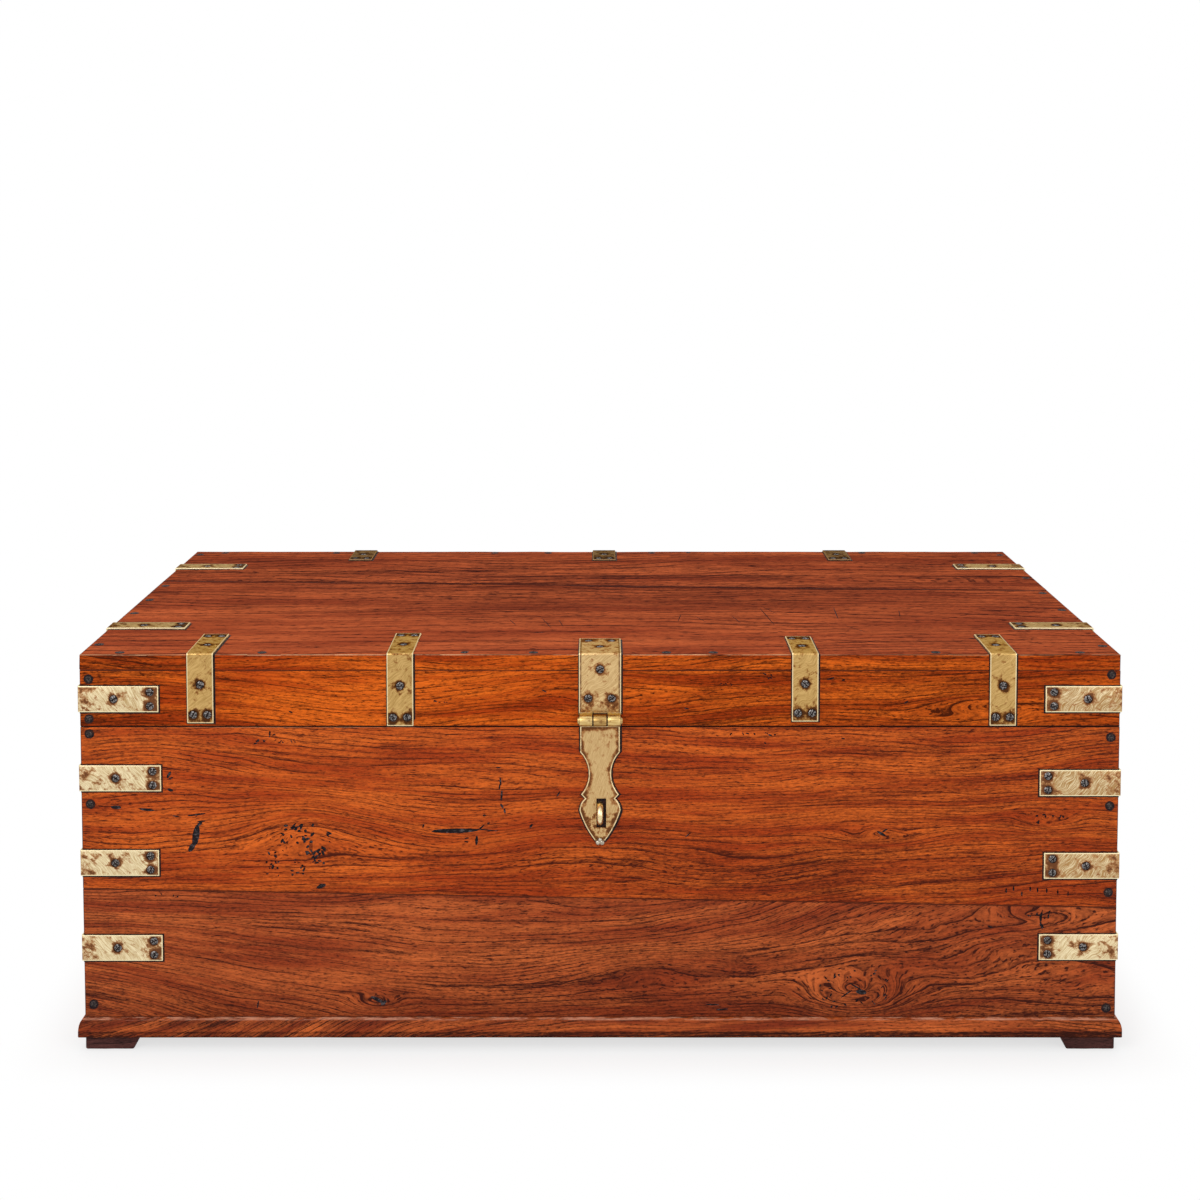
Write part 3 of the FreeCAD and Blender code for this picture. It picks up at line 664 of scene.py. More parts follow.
for i, side in enumerate(("left", "right")):
    end_teak = teak(f"teak_{side}_end", (1, 2, 0), 120.3 + 31 * i, end_knots[i:], [foot_grime])
    for level in ("upper", "lower"):
        plain_board(f"{side}_end_{level}_board", "case", end_teak, 1, 20 + i)


# Case bottom: three boards laid loose-jointed inside the walls, on the inner edge of the
# plinth. They are dry and dull, as they never see any oil.
dry_tones = (teak_tones[0], (0.2, 0.062, 0.024), (0.3, 0.1, 0.04))
bottom_teak = teak("teak_bottom", (0, 1, 2), 201.7, tones=dry_tones)
for i, name in enumerate(("front", "middle", "back")):
    plain_board(f"bottom_{name}_board", "case", bottom_teak, 0, 30 + i, steps=4)


# Plinth: a mitred moulding round the foot of the case, rounded over at the top. Along the crown of
#  the moulding runs a painted highlight, and a dark line where band meets round is painted groove shade.
plinth_band = 0.0062
plinth_round = 0.0006
plinth_wander = 0.00015
round_steps = 6
nearly_all = 0.999
plinth_tones = ((0.03, 0.006, 0.003), (0.2, 0.028, 0.008), (0.56, 0.12, 0.026))
# Darker below the round, deepest in a line where the band meets the round, which is painted shade of a
# groove; paler just below, and darker again at the foot.
plinth_bands_and_groove_shade = [(2, 0.0235, 0.0215, 0.55), (2, 0.0212, 0.02, -0.25), (2, 0.019, 0.016, 0.35)]
plinth_crown = (2, 0.0334, 0.0348)
plinth_leans = [(-0.34, 0.18, -0.6, 0, 0.01)]
plinth_patches = [
    (-0.46, 0.0315, 0.3, 0.0035, 0.3), (0.28, 0.0275, 0.32, 0.0045, -0.22),
    (0.28, 0.0195, 0.36, 0.0035, 0.3), (0.54, 0.027, 0.1, 0.012, 0.28), (-0.1, 0.023, 0.3, 0.006, -0.08),
]
plinth_low, plinth_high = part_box("plinth_front")
case_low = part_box("front_lower_board")[0]
case_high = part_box("back_upper_board")[1]


def plinth_piece(side, half_length, distance, turn, finish):
    """A length of moulding made for the front, mitred, then turned to its own side."""
    projection = case_low.y - plinth_low.y
    band_top = plinth_low.z + plinth_band
    reach = half_length + projection
    outer = -distance - projection
    low = (-reach, outer, plinth_low.z)
    high = (reach, outer + plinth_high.y - plinth_low.y, band_top + projection)
    piece = clad(start_block(f"plinth_{side}_teak", low, high), finish)

    def top_of_the_face(a, b):
        return min(a.z, b.z) > high[2] - nearby and max(a.y, b.y) < outer + nearby

    with edited(piece, "EDGE", top_of_the_face):
        bpy.ops.mesh.bevel(offset=projection * nearly_all, segments=round_steps)
    with edited(piece, "VERT", lambda place: place.z > band_top + nearby):
        stretch = (plinth_high.z - band_top) / projection
        bpy.ops.transform.resize(value=(1, 1, stretch), center_override=(0, 0, band_top))
    for sign in (-1, 1):
        cut_across(piece, Vector((sign * reach, outer, 0)), Vector((sign, 1, 0)))
    piece.data.transform(Matrix.Rotation(math.radians(turn), 4, "Z"))
    worn_edges(piece, 1 if turn % 180 else 0, length_steps, plinth_round, plinth_wander, turn)
    finished(piece, "case", "teak", "plinth_" + side)


plinth_look = {"grime_and_shade": plinth_bands_and_groove_shade, "tones": plinth_tones, "crown": plinth_crown, "shine": 0.06}
plinth_long = teak(
    "teak_plinth_long", (0, 2, 1), 301.1, leans=plinth_leans, patches=plinth_patches, wave_share=0.5,
    **plinth_look,
)
plinth_short = teak("teak_plinth_short", (1, 2, 0), 322.4, **plinth_look)
for side, turn in (("front", 0), ("right", 90), ("back", 180), ("left", 270)):
    if turn % 180:
        plinth_piece(side, case_high.y, case_high.x, turn, plinth_short)
    else:
        plinth_piece(side, case_high.x, case_high.y, turn, plinth_long)


# Feet: four low blocks of dark wood under the corners, nearly black with old stain and floor
# wax, each sawn to a slope on its two inner ends.
foot_slope = 0.008
foot_round = 0.0018
foot_wander = 0.0002
foot_tones = ((0.018, 0.009, 0.009), (0.058, 0.021, 0.019), (0.11, 0.04, 0.034))
foot_finish = teak("dark_foot", (0, 2, 1), 402.2, tones=foot_tones)
corners = [
    (f"{end}_{side}", ((0, end_side), (1, front_side)))
    for end, front_side in (("front", -1), ("back", 1)) for side, end_side in (("left", -1), ("right", 1))
]


def on_axis(axis, length):
    """A step along one axis."""
    step = Vector()
    step[axis] = length
    return step


for corner, outer in corners:
    node = "foot_" + corner
    low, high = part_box(node)
    foot = clad(start_block(node + "_block", low, high), foot_finish)
    for axis, side in outer:
        inner = (high if side < 0 else low)[axis]
        with edited(foot, "VERT", lambda v: v.z < low.z + nearby and abs(v[axis] - inner) < nearby):
            bpy.ops.transform.translate(value=on_axis(axis, side * foot_slope))
    worn_edges(foot, 0, 4, foot_round, foot_wander, 9)
    for vertex in foot.data.vertices:
        vertex.co.z = max(vertex.co.z, low.z)
    finished(foot, "case", "dark_wood", node)


# Case corner straps: three bars of brass plate at each corner, bent round from the long side
# to the end and screwed down. They are brushed bright with grit, and brown round the screws.
metal_thickness = 0.002
metal_edge = 0.00045
bend_round = 0.0016
strap_half = 0.01425
middle_screw_share = 0.43
end_screw_inset = 0.0095
pair_screw_offset = 0.0076
screw_head = 0.00425
seat_gap = 0.0005
seat_depth = 0.0012
seat_clear = 0.004
# The dark rim round each strap is old wax and a painted shadow, shifted right and down where a strap's
# shadow falls.
dark_rim = 0.0014
shadow_shift = (0.0005, 0, -0.0005)
dark_sheet_height = 0.0002
together = 1e-6
grazing = (0.55, 0.44, 0.3)
brass_sheen = {"Metallic": 1, "Specular_Tint": grazing}
warm_shares = (1.14, 0.88, 0.78)
old_yellow = (0.4, 0.215, 0.072)
pale_brass = ((0.16, 0.06, 0.024), (0.52, 0.345, 0.15), (0.9, 0.765, 0.485))


def solids_in(node):
    """Low and high corner of each separate solid of a construction node."""
    copy = frame["nodes"][node].copy()
    copy.data = copy.data.copy()
    copy.parent = None
    bpy.context.collection.objects.link(copy)
    with edited(copy):
        bpy.ops.mesh.remove_doubles(threshold=together)
        bpy.ops.mesh.separate(type="LOOSE")
    corners = []
    for part in list(bpy.context.selected_objects):
        places = [vertex.co for vertex in part.data.vertices]
        corners.append((Vector(map(min, zip(*places))), Vector(map(max, zip(*places)))))
        bpy.data.objects.remove(part)
    return sorted(corners, key=lambda pair: tuple(pair[0]))


def drawn(step):
    """Draw the selected section out in a straight line."""
    bpy.ops.mesh.extrude_region_move(TRANSFORM_OT_translate={"value": step})


def bent_bar(name, low, high, outer, thickness):
    """A flat bar bent over a corner: along one axis first, then over the edge of another."""
    (along, along_side), (over, over_side) = outer
    near, far = low.copy(), high.copy()
    if over_side < 0:
        far[over] = near[over] + thickness
    else:
        near[over] = far[over] - thickness
    bar = start_block(name, near, far)
    bend = on_axis(along, (low if along_side < 0 else high)[along] - along_side * thickness)
    with edited(bar):
        bpy.ops.mesh.bisect(plane_co=bend, plane_no=on_axis(along, 1))

    def inside_the_bend(centre, facing):
        return facing[over] * over_side < -0.5 and (centre[along] - bend[along]) * along_side > 0

    with edited(bar, "FACE", inside_the_bend):
        drawn(on_axis(over, -over_side * (high[over] - low[over] - thickness)))
    return bar


def round_bar(name, radius, start, end, sides=12):
    """A straight round bar between two points."""
    start, end = Vector(start), Vector(end)
    return started(
        name, bpy.ops.mesh.primitive_cylinder_add, vertices=sides, radius=radius, depth=(end - start).length,
        location=(start + end) / 2, rotation=(end - start).to_track_quat("Z", "Y").to_euler(),
    )


def seats_cut(plate, places, facing):
    """Sink a round seat for each screw head, at places on the face of the plate."""
    sinks = [
        round_bar("sink", screw_head + seat_gap, place - facing * seat_depth, place + facing * seat_clear)
        for place in places
    ]
    carved(plate, joined("sinks", sinks))


def bent_strap(name, low, high, outer, finish, rows=None, offset=pair_screw_offset):
    """A strap with its screw seats, its dark rim of old wax and painted shadow, and its measurements for the
    finish.
    """
    width_axis = 3 - outer[0][0] - outer[1][0]
    centre = (low[width_axis] + high[width_axis]) / 2
    wood = Vector()
    for axis, side in outer:
        wood[axis] = (low if side < 0 else high)[axis] - side * metal_thickness
    bar = bent_bar(name, low, high, outer, metal_thickness)

    def at_the_bend(*ends):
        bend = [(axis, wood[axis] + side * metal_thickness) for axis, side in outer]
        return all(abs(end[axis] - place) < together for end in ends for axis, place in bend)

    with edited(bar, "EDGE", at_the_bend):
        bpy.ops.mesh.bevel(offset=bend_round, segments=3)
    rounded(bar, metal_edge, 2)
    legs = {}
    for (axis, side), (other, other_side) in (outer, outer[::-1]):
        length = (high - low)[axis] - metal_thickness
        middle, pair = (rows or {}).get(axis, (length * middle_screw_share, length - end_screw_inset))
        legs[axis] = (side, length, middle, pair)
        places = []
        for reach, sideways in ((middle, 0), (pair, -offset), (pair, offset)):
            place = Vector()
            place[axis] = wood[axis] - side * reach
            place[other] = wood[other] + other_side * metal_thickness
            place[width_axis] = centre + sideways
            places.append(place)
        seats_cut(bar, places, on_axis(other, other_side))
    mesh = bar.data
    plate, screw = (mesh.attributes.new(name, "FLOAT_VECTOR", "CORNER") for name in ("plate", "screw"))
    for face in mesh.polygons:
        reach = {axis: (wood[axis] - face.center[axis]) * side for axis, side in outer}
        axis = max(reach, key=reach.get)
        side, length, middle, pair = legs[axis]
        for corner in face.loop_indices:
            place = mesh.vertices[mesh.loops[corner].vertex_index].co
            reached = (wood[axis] - place[axis]) * side
            across = place[width_axis] - centre
            plate.data[corner].vector = ((length - reached) * 1000, across * 1000, 0)
            screw.data[corner].vector = ((reached - middle) * 1000, (reached - pair) * 1000, 0)
    smoothed(clad(bar, finish))
    # The dark rim: old wax, and a painted shadow that is wider to the right and below.
    rim_low, rim_high = low.copy(), high.copy()
    rim_low[width_axis] += shadow_shift[width_axis] - dark_rim
    rim_high[width_axis] += shadow_shift[width_axis] + dark_rim
    for axis, side in outer:
        outside, inside = (rim_low, rim_high) if side < 0 else (rim_high, rim_low)
        outside[axis] = wood[axis] + side * dark_sheet_height
        inside[axis] -= side * dark_rim
    rim = bent_bar("rim", rim_low, rim_high, outer, dark_sheet_height)
    return joined(name, [bar, clad(rim, wax_and_painted_shade)])


def strapped(node, body, solids, outer, finish):
    """Bent straps in the place of the solids of one construction node."""
    bars = [bent_strap("strap", low, high, outer, finish) for low, high in solids]
    finished(joined(node + "_brass", bars), body, "brass", node)


def warmed(tones):
    """The brown that brass turns before it goes dark."""
    return tuple(share * (low + high) / 2 for share, low, high in zip(warm_shares, tones[0], tones[1]))


def brass(
    name, tones, edge, seed, half_width=strap_half, offset=pair_screw_offset, brown=0, hairs=1, framed=0,
    top_leg_shade=0, bend=0.55, dull=0,
):
    """Brass plate: brushed in slanting hairs, tarnished round its screws and at its ends."""
    finish, tone = new_finish(name)
    dark, middle, bright = tones
    half, offset = half_width * 1000, offset * 1000
    from_end, across, _ = tone.measured("plate", 1).split()
    from_middle, from_pair, _ = tone.measured("screw", 1).split()
    place = tone.place()
    x, y, z = (axis * 1000 for axis in place)
    other = (x + y * 1.3 + z * 1.7) / 70 + seed
    curl = (tone.cloud(from_end / 26, across / 26, other, detail=1) - 0.5) * 16
    stroke = from_end * 0.62 + across * 0.78
    over = across * 0.62 - from_end * 0.78 + curl
    hair = tone.cloud(stroke / 13, over / 0.85, other, detail=3, rough=0.75).eased(0.36, 0.64)
    wisp = tone.cloud(stroke / 22, over / 2.4, other + 3, rough=0.6).eased(0.4, 0.68)
    blotch = tone.cloud(from_end / 8, across / 7, other * 3, detail=4, rough=0.6)
    speck = tone.cloud(from_end / 1.6, across / 1.6, other * 5, rough=0.6)
    to_middle = (across * across + from_middle * from_middle) ** 0.5
    sideways = abs(across) - offset
    to_pair = (sideways * sideways + from_pair * from_pair) ** 0.5
    to_screw = tone.math("MINIMUM", to_middle, to_pair)
    halo = tone.math("EXPONENT", (4.6 - to_screw) / 2.4)
    ends = from_end.eased(20, 1) * 0.55 + from_middle.eased(-16, -27) * bend
    # The leg that lies on top is darkened: painted shade against the white the top reflects.
    upper_leg_shade = place[2].eased(0.435, 0.4362) * top_leg_shade
    stain = (blotch - 0.55 + brown) * 3.6 + ends + halo * 1.35 + (speck - 0.5) * 0.9 + upper_leg_shade
    stain = (stain + wisp * 0.18).held()
    # The bright rim along the plate's edges is polish and a painted highlight on the rounded edges.
    rim = tone.math("MAXIMUM", abs(across).eased(half - 1.5, half - 0.8), from_end.eased(1.5, 0.8))
    shine = (hair * (0.8 * hairs) + (1 - wisp) * 0.3).held()
    colour = shine.mixed(middle, bright)
    if dull:
        duller_side = place[0].eased(0.2, 0.4) * place[2].eased(0.13, 0.165)
        colour = (duller_side * (1.02 - hair * 0.8) * dull).mixed(colour, old_yellow)
    colour = stain.eased(0, 0.6).mixed(colour, warmed(tones))
    colour = stain.eased(0.4, 0.95).mixed(colour, dark)
    frame_line = abs(across).eased(half - 3.6, half - 1.9) * (1 - blotch.eased(0.4, 0.62) * 0.5)
    colour = (frame_line * framed).mixed(colour, dark)
    colour = (rim * (1 - speck.eased(0.56, 0.74) * 0.6) * 0.95).mixed(colour, edge)
    height = hair * 0.35 - stain * 0.6 + (blotch - 0.5) * 0.8
    tone.surface(colour, 0.34 + stain * 0.22 + hair * 0.06, (0.35, 0.0004, height), **brass_sheen)
    return finish


strap_brass = brass("brushed_brass", pale_brass, (0.92, 0.8, 0.5), 3.7, bend=0.42, dull=1)
for corner, outer in corners:
    node = "case_straps_" + corner
    strapped(node, "case", solids_in(node), outer, strap_brass)


# Lid: two thick boards on four rails, with a slanting joint between the boards. The top has
#  darkened to a duller brown than the front, its grey partly a painted sheen, and its edges are rubbed pale.
lid_round = 0.0011
lid_wander = 0.0003
lid_seam_half = 0.0038
# The top's tones are aged teak with a painted sheen, as its colour carries the grey of reflected light.
top_tones = ((0.045, 0.011, 0.009), (0.285, 0.051, 0.019), (0.505, 0.108, 0.035))
top_knots = [(-0.3, -0.16, 0.1, 0.03, 0.5), (0.33, 0.1, 0.16, 0.035, 0.8), (0.42, -0.2, 0.1, 0.03, 0.6)]
top_grime = [(1, -0.2884, -0.2894, -0.16)]
top_patches = [
    (0, 0.06, 0.45, 0.12, 0.21), (-0.1, -0.23, 0.5, 0.08, -0.19), (-0.38, -0.15, 0.22, 0.12, -0.12),
]
rail_tones = ((0.058, 0.009, 0.002), (0.355, 0.04, 0.004), (0.69, 0.128, 0.011))
lid_end_grime = (0, -0.44, -0.52, 0.26)
nose_grime = [(0, -0.1, 0.15, 0.1), lid_end_grime]
nose_teak = teak("teak_lid_nose", (0, 2, 1), 571.7, (), nose_grime, rail_tones, shine=0.02)
inside_teak = teak("teak_lid_inside", (0, 1, 2), 588.2, [(-0.21, 0.08, 0.08, 0.025, 1)])


def faced(piece, finish, wanted):
    """Give the wanted faces of a piece a finish of their own."""
    clad(piece, finish)
    for face in piece.data.polygons:
        if wanted(face.normal):
            face.material_index = len(piece.data.materials) - 1


front_low, front_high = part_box("lid_front_board")
back_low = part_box("lid_back_board")[0]
lid_joint = ((front_low.x, front_high.y), (front_high.x, back_low.y), 1)
joint_fall = (front_high.y - back_low.y) / (front_high.x - front_low.x)
lid_seam = ((front_high.y + back_low.y) / 2, joint_fall, lid_seam_half)
for name, seed in (("front", 501.9), ("back", 533.3)):
    finish = teak(
        f"teak_lid_{name}", (0, 1, 2), seed, top_knots, top_grime, top_tones, shine=0, coarse=3,
        patches=top_patches, seam=lid_seam,
    )
    node = f"lid_{name}_board"
    piece = clad(board_between(node + "_teak", node, lid_joint, name == "front"), finish)
    worn_edges(piece, 0, length_steps, lid_round, lid_wander, 51, edge_teak)
    faced(piece, inside_teak, lambda normal: normal.z < -0.7)
    faced(piece, nose_teak, lambda normal: abs(normal.y) > 0.9)
    finished(piece, "lid", "teak", node)

# Scratches across the top: place, half length, half width, lean
top_scratches = [
    (196, -109, 50, 0.6, -84), (201, -74, 26, 0.5, -70), (279, -91, 34, 0.6, 88),
    (290, -168, 24, 0.5, -60), (159, -124, 20, 0.5, -78), (93, -115, 20, 0.5, 82),
    (117, -121, 18, 0.5, -70), (-62, -141, 28, 0.5, -76), (-101, -139, 15, 0.6, -72),
    (-45, -143, 18, 0.5, -80), (-68.5, -189, 8, 1.1, 18), (354, -92, 16, 0.5, 84),
    (-300, 120, 14, 0.6, 70), (60, 150, 10, 0.9, -30), (420, -215, 12, 0.9, 24),
]
for name, side in (("front", -1), ("back", 1)):
    scratches = [scratch for scratch in top_scratches if scratch[1] * side > 0]
    gouged(bpy.data.objects[f"lid_{name}_board_teak"], scratches, on_top=True)

rail_knots = [(0.02, 0.39, 0.1, 0.02, 0), (0.4, 0.375, 0.09, 0.015, 0)]
rail_grime = [(0, -0.1, 0.15, 0.19), lid_end_grime]
rail_long = teak("teak_lid_rail_long", (0, 2, 1), 611.4, rail_knots, rail_grime, rail_tones, shine=0.02)
rail_short = teak(
    "teak_lid_rail_short", (1, 2, 0), 637.8, [(0.05, 0.38, 0.06, 0.015, 0.5)], (), rail_tones, shine=0.02
)
for name in ("front", "back"):
    plain_board(f"lid_{name}_rail", "lid", rail_long, 0, 60)
for name in ("left", "right"):
    plain_board(f"lid_{name}_rail", "lid", rail_short, 1, 61)
rail_hollows = pits((181, 412, 6, 4, 7, 1.3), (134, 404.5, 10, 2, 8, 1.1), (-170, 386, 9, 3, 6, 1))
rail_hollows += [
    (-333, 373, 2.4, 0.9, 20), (248, 409.5, 4.5, 1, -15), (262, 408, 2, 0.9, 0),
    (-60, 396, 3, 0.8, 30), (330, 384, 2.6, 0.9, -35), (93, 377, 3.4, 0.8, 12),
]
gouged(bpy.data.objects["lid_front_rail_teak"], rail_hollows)


# Lid corner straps: one brass bar round each upright corner of the lid, like the straps of
# the case.
for corner, outer in corners:
    node = "lid_corner_strap_" + corner
    strapped(node, "lid", [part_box(node)], outer, strap_brass)


# Lid front straps: four bars bent over the front edge of the lid. Hands have kept them
# yellower and less scratched than the others.
yellow_tones = ((0.08, 0.028, 0.009), (0.38, 0.215, 0.06), (0.62, 0.4, 0.148))
yellow_edge = (0.84, 0.68, 0.4)
yellow_brass = brass("yellow_brass", yellow_tones, yellow_edge, 9.1, brown=-0.02, top_leg_shade=0.25, bend=0.05)
for place in ("far_left", "near_left", "near_right", "far_right"):
    node = "lid_front_strap_" + place
    strapped(node, "lid", [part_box(node)], ((2, 1), (1, -1)), yellow_brass)


# Lid end straps: two bars over each end edge of the lid, of the same plate as the others and
# screwed down the same way, dull on top and bright at the edges.
dull_tones = ((0.07, 0.032, 0.02), (0.34, 0.205, 0.09), (0.61, 0.46, 0.235))
dull_brass = brass("dull_brass", dull_tones, (0.84, 0.72, 0.46), 14.3, brown=0.02)
for side, end_side in (("left", -1), ("right", 1)):
    node = "lid_end_straps_" + side
    strapped(node, "lid", solids_in(node), ((2, 1), (0, end_side)), dull_brass)


# Hinges: three strap hinges at the back. The upper leaf bends over the edge of the lid, the
# lower one lies flat on the case, and both roll round a stout brass pin.
hinge_pin = 0.0034
hinge_half = 0.0155
pin_round = 0.0006
pin_clearance = 0.00005
leaf_clearance = 0.0004
knuckle_gap = 0.0003
knuckle_round = 0.0007
roll_sides = 28
pin_sides = 24
hinge_front_rows = (0.03, 0.056)
lower_leaf_rows = (0.034, 0.068)
aged_tones = ((0.04, 0.022, 0.014), (0.14, 0.08, 0.045), (0.3, 0.19, 0.1))


def knuckles(places, width, centre, pin, plate_side, plate_reach, finish):
    """Rolled tubes round a pin, each with the tongue that runs to its flat plate."""
    rolls = []
    near, far = sorted((plate_side, plate_side + math.copysign(metal_thickness, centre[0])))
    bottom, top = sorted((centre[1], plate_reach))
    bore = pin + pin_clearance
    for x in places:
        start, end = x - width / 2, x + width / 2
        tube = round_bar("roll", bore + metal_thickness, (start, *centre), (end, *centre), roll_sides)
        clad(tube, finish, wax_and_painted_shade)
        # The bevelled ends of each roll take the dark wax: painted shade in the gaps between the knuckles.
        with edited(tube, "FACE", lambda centre, facing: abs(facing.x) > 0.9):
            bpy.ops.mesh.bevel(offset=knuckle_round, segments=2, material=1)
        for tongue_on in (False, True):
            if tongue_on:
                carved(tube, start_block("tongue", (start, near, bottom), (end, far, top)), "UNION")
            carved(tube, round_bar("hollow", bore, (x - width, *centre), (x + width, *centre), roll_sides))
        smoothed(tube)
        rolls.append(tube)
    return joined("rolls", rolls)


def pin_through(name, radius, solid, centre, finish, edge=pin_round, segments=2):
    """A pin with rounded ends, as long as its solid."""
    pin = round_bar(name, radius, (solid[0].x, *centre), (solid[1].x, *centre), pin_sides)
    rounded(pin, edge, segments, 50)
    smoothed(pin)
    return clad(pin, finish)


def lathe_brass(name, tones, seed):
    """Brass of rods, rolls and turned pieces: worn bright outside, brown in the hollows."""
    finish, tone = new_finish(name)
    dark, middle, bright = tones
    x, y, z = tone.millimetres()
    blotch = tone.cloud(x / 6, y / 6, z / 6 + seed, detail=4, rough=0.65)
    scratch = tone.cloud(x / 9, y / 0.7, z / 0.7 + seed, rough=0.6).eased(0.35, 0.68)
    stain = blotch.eased(0.52, 0.74) * 0.8
    colour = stain.mixed((scratch * 0.8).mixed(middle, bright), dark)
    tone.surface(colour, 0.3 + stain * 0.25, (0.3, 0.0003, scratch * 0.4 - stain), **brass_sheen)
    return finish


aged_brass = brass(
    "aged_brass", aged_tones, aged_tones[2], 21.9, half_width=hinge_half, brown=0.02, hairs=0.6, top_leg_shade=0.2
)
aged_roll_brass = lathe_brass("aged_brass_rolls", aged_tones, 25.3)
hinge_barrel = hinge_pin + pin_clearance + metal_thickness
wall_back = case_high.y
plate_back = wall_back + metal_thickness
hinge_centre = (wall_back + leaf_clearance + hinge_barrel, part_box("hinge_pins")[0].z + hinge_pin)
top_edge = hinge_centre[1] + hinge_barrel + knuckle_gap
low_edge = hinge_centre[1] - hinge_barrel - knuckle_gap
upper_low, upper_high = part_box("hinge_upper_leaves")
leaf_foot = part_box("hinge_lower_leaves")[0].z
uppers, lowers, pins = [], [], []
for low, high in solids_in("hinge_pins"):
    middle, each = (low.x + high.x) / 2, (high.x - low.x - 2 * knuckle_gap) / 3
    leaf_low = Vector((low.x, upper_low.y, top_edge))
    leaf_high = Vector((high.x, plate_back, upper_high.z))
    rows = {2: hinge_front_rows}
    uppers.append(bent_strap("leaf", leaf_low, leaf_high, ((2, 1), (1, 1)), aged_brass, rows))
    places = (middle - each - knuckle_gap, middle + each + knuckle_gap)
    sizes = (each, hinge_centre, hinge_pin, wall_back)
    uppers.append(knuckles(places, *sizes, top_edge, aged_roll_brass))
    leaf = start_block("leaf", (low.x, wall_back, leaf_foot), (high.x, plate_back, low_edge))
    rounded(leaf, metal_edge, 2)
    near_row, far_row = (hinge_centre[1] - down for down in lower_leaf_rows)
    screws = ((0, near_row), (-pair_screw_offset, far_row), (pair_screw_offset, far_row))
    seats = [Vector((middle + sideways, plate_back, row)) for sideways, row in screws]
    seats_cut(leaf, seats, on_axis(1, 1))
    lowers += [clad(leaf, aged_roll_brass), knuckles((middle,), *sizes, low_edge, aged_roll_brass)]
    pins.append(pin_through("pin", hinge_pin, (low, high), hinge_centre, aged_roll_brass))
finished(joined("hinge_upper_leaves_brass", uppers), "lid", "aged_brass", "hinge_upper_leaves")
finished(joined("hinge_lower_leaves_brass", lowers), "case", "aged_brass", "hinge_lower_leaves")
finished(joined("hinge_pins_brass", pins), "case", "aged_brass", "hinge_pins")


# Hasp plate: a wide brass plate bent over the front edge of the lid, whose lower end is
# rolled into two knuckles, and the pin through them.
hasp_pin = 0.00415
hasp_pin_round = 0.0009
hasp_half = 0.02275
hasp_front_rows = (0.0152, 0.047)
hasp_top_rows = (0.029, 0.056)
hasp_pair_offset = 0.0126
hasp_tones = ((0.145, 0.053, 0.018), (0.46, 0.275, 0.105), (0.74, 0.52, 0.25))
hasp_roll_tones = ((0.17, 0.06, 0.02), (0.56, 0.36, 0.12), (0.82, 0.62, 0.28))
hasp_brass = brass(
    "hasp_brass", hasp_tones, (0.86, 0.7, 0.42), 31.6, half_width=hasp_half, offset=hasp_pair_offset,
    brown=-0.025, hairs=0.9, framed=0.95, top_leg_shade=0.3, bend=0.1,
)
hasp_roll_brass = lathe_brass("hasp_rolls", hasp_roll_tones, 35.2)

wall_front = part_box("front_upper_board")[0].y
hasp_barrel = hasp_pin + pin_clearance + metal_thickness
pin_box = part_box("hasp_pin")
hasp_centre = (wall_front - leaf_clearance - hasp_barrel, (pin_box[0].z + pin_box[1].z) / 2)
plate_low, plate_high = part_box("hasp_plate")
hasp_each = (plate_high.x - plate_low.x - 2 * knuckle_gap) / 3
plate_edge = hasp_centre[1] + hasp_barrel + knuckle_gap
plate = bent_strap(
    "plate", Vector((plate_low.x, wall_front - metal_thickness, plate_edge)), plate_high, ((2, 1), (1, -1)),
    hasp_brass, {2: hasp_front_rows, 1: hasp_top_rows}, hasp_pair_offset,
)
hasp_sizes = (hasp_each, hasp_centre, hasp_pin)
places = (-hasp_each - knuckle_gap, hasp_each + knuckle_gap)
rolls = knuckles(places, *hasp_sizes, wall_front, plate_edge, hasp_roll_brass)
finished(joined("hasp_plate_brass", [plate, rolls]), "lid", "brass", "hasp_plate")
pin = pin_through("hasp_pin_brass", hasp_pin, pin_box, hasp_centre, hasp_roll_brass, hasp_pin_round, 3)
finished(pin, "lid", "brass", "hasp_pin")


# Hasp leaf: a shaped tongue of brass that hangs on the pin. Its outline draws in to a waist
# and swells to a pointed shield, with a filed edge, a slot for the staple and a small knob.
leaf_length = 0.1385
leaf_width = 0.0435
leaf_file = 0.0016
leaf_line = 0.0052
# The ring under the leaf is old wax and a painted shadow of the leaf.
leaf_shadow_rim = 0.0015
leaf_shadow_shift = 0.0005
shadow_hole_share = 0.93
leaf_shadow_root = 0.2 * dark_rim
leaf_outline = (
    ("line", (0.5, 0.26)),
    ("arc", (0.284, 0.428), (0.481, 0.594)),
    ("line", (0.386, 0.626)),
    ("arc", (0.485, 0.671), (0.518, 0.721)),
    ("arc", (0.343, 0.858), (0.132, 0.962)),
)
arc_steps = 9
slot_width = 0.0105
slot_side = 0.0014
slot_top = 0.0865
slot_height = 0.032
slot_clear = 0.002
knob_sink = 0.0006
# Each ball of the knob: to the side, up from the tip, radius
knob_balls = ((-0.0023, 0.004, 0.0031), (0.0023, 0.004, 0.0031), (0, 0.0068, 0.0027))

leaf_back = wall_front - leaf_clearance
leaf_face = leaf_back - metal_thickness
leaf_top = hasp_centre[1] - hasp_barrel - knuckle_gap
slot_high = hasp_centre[1] - slot_top


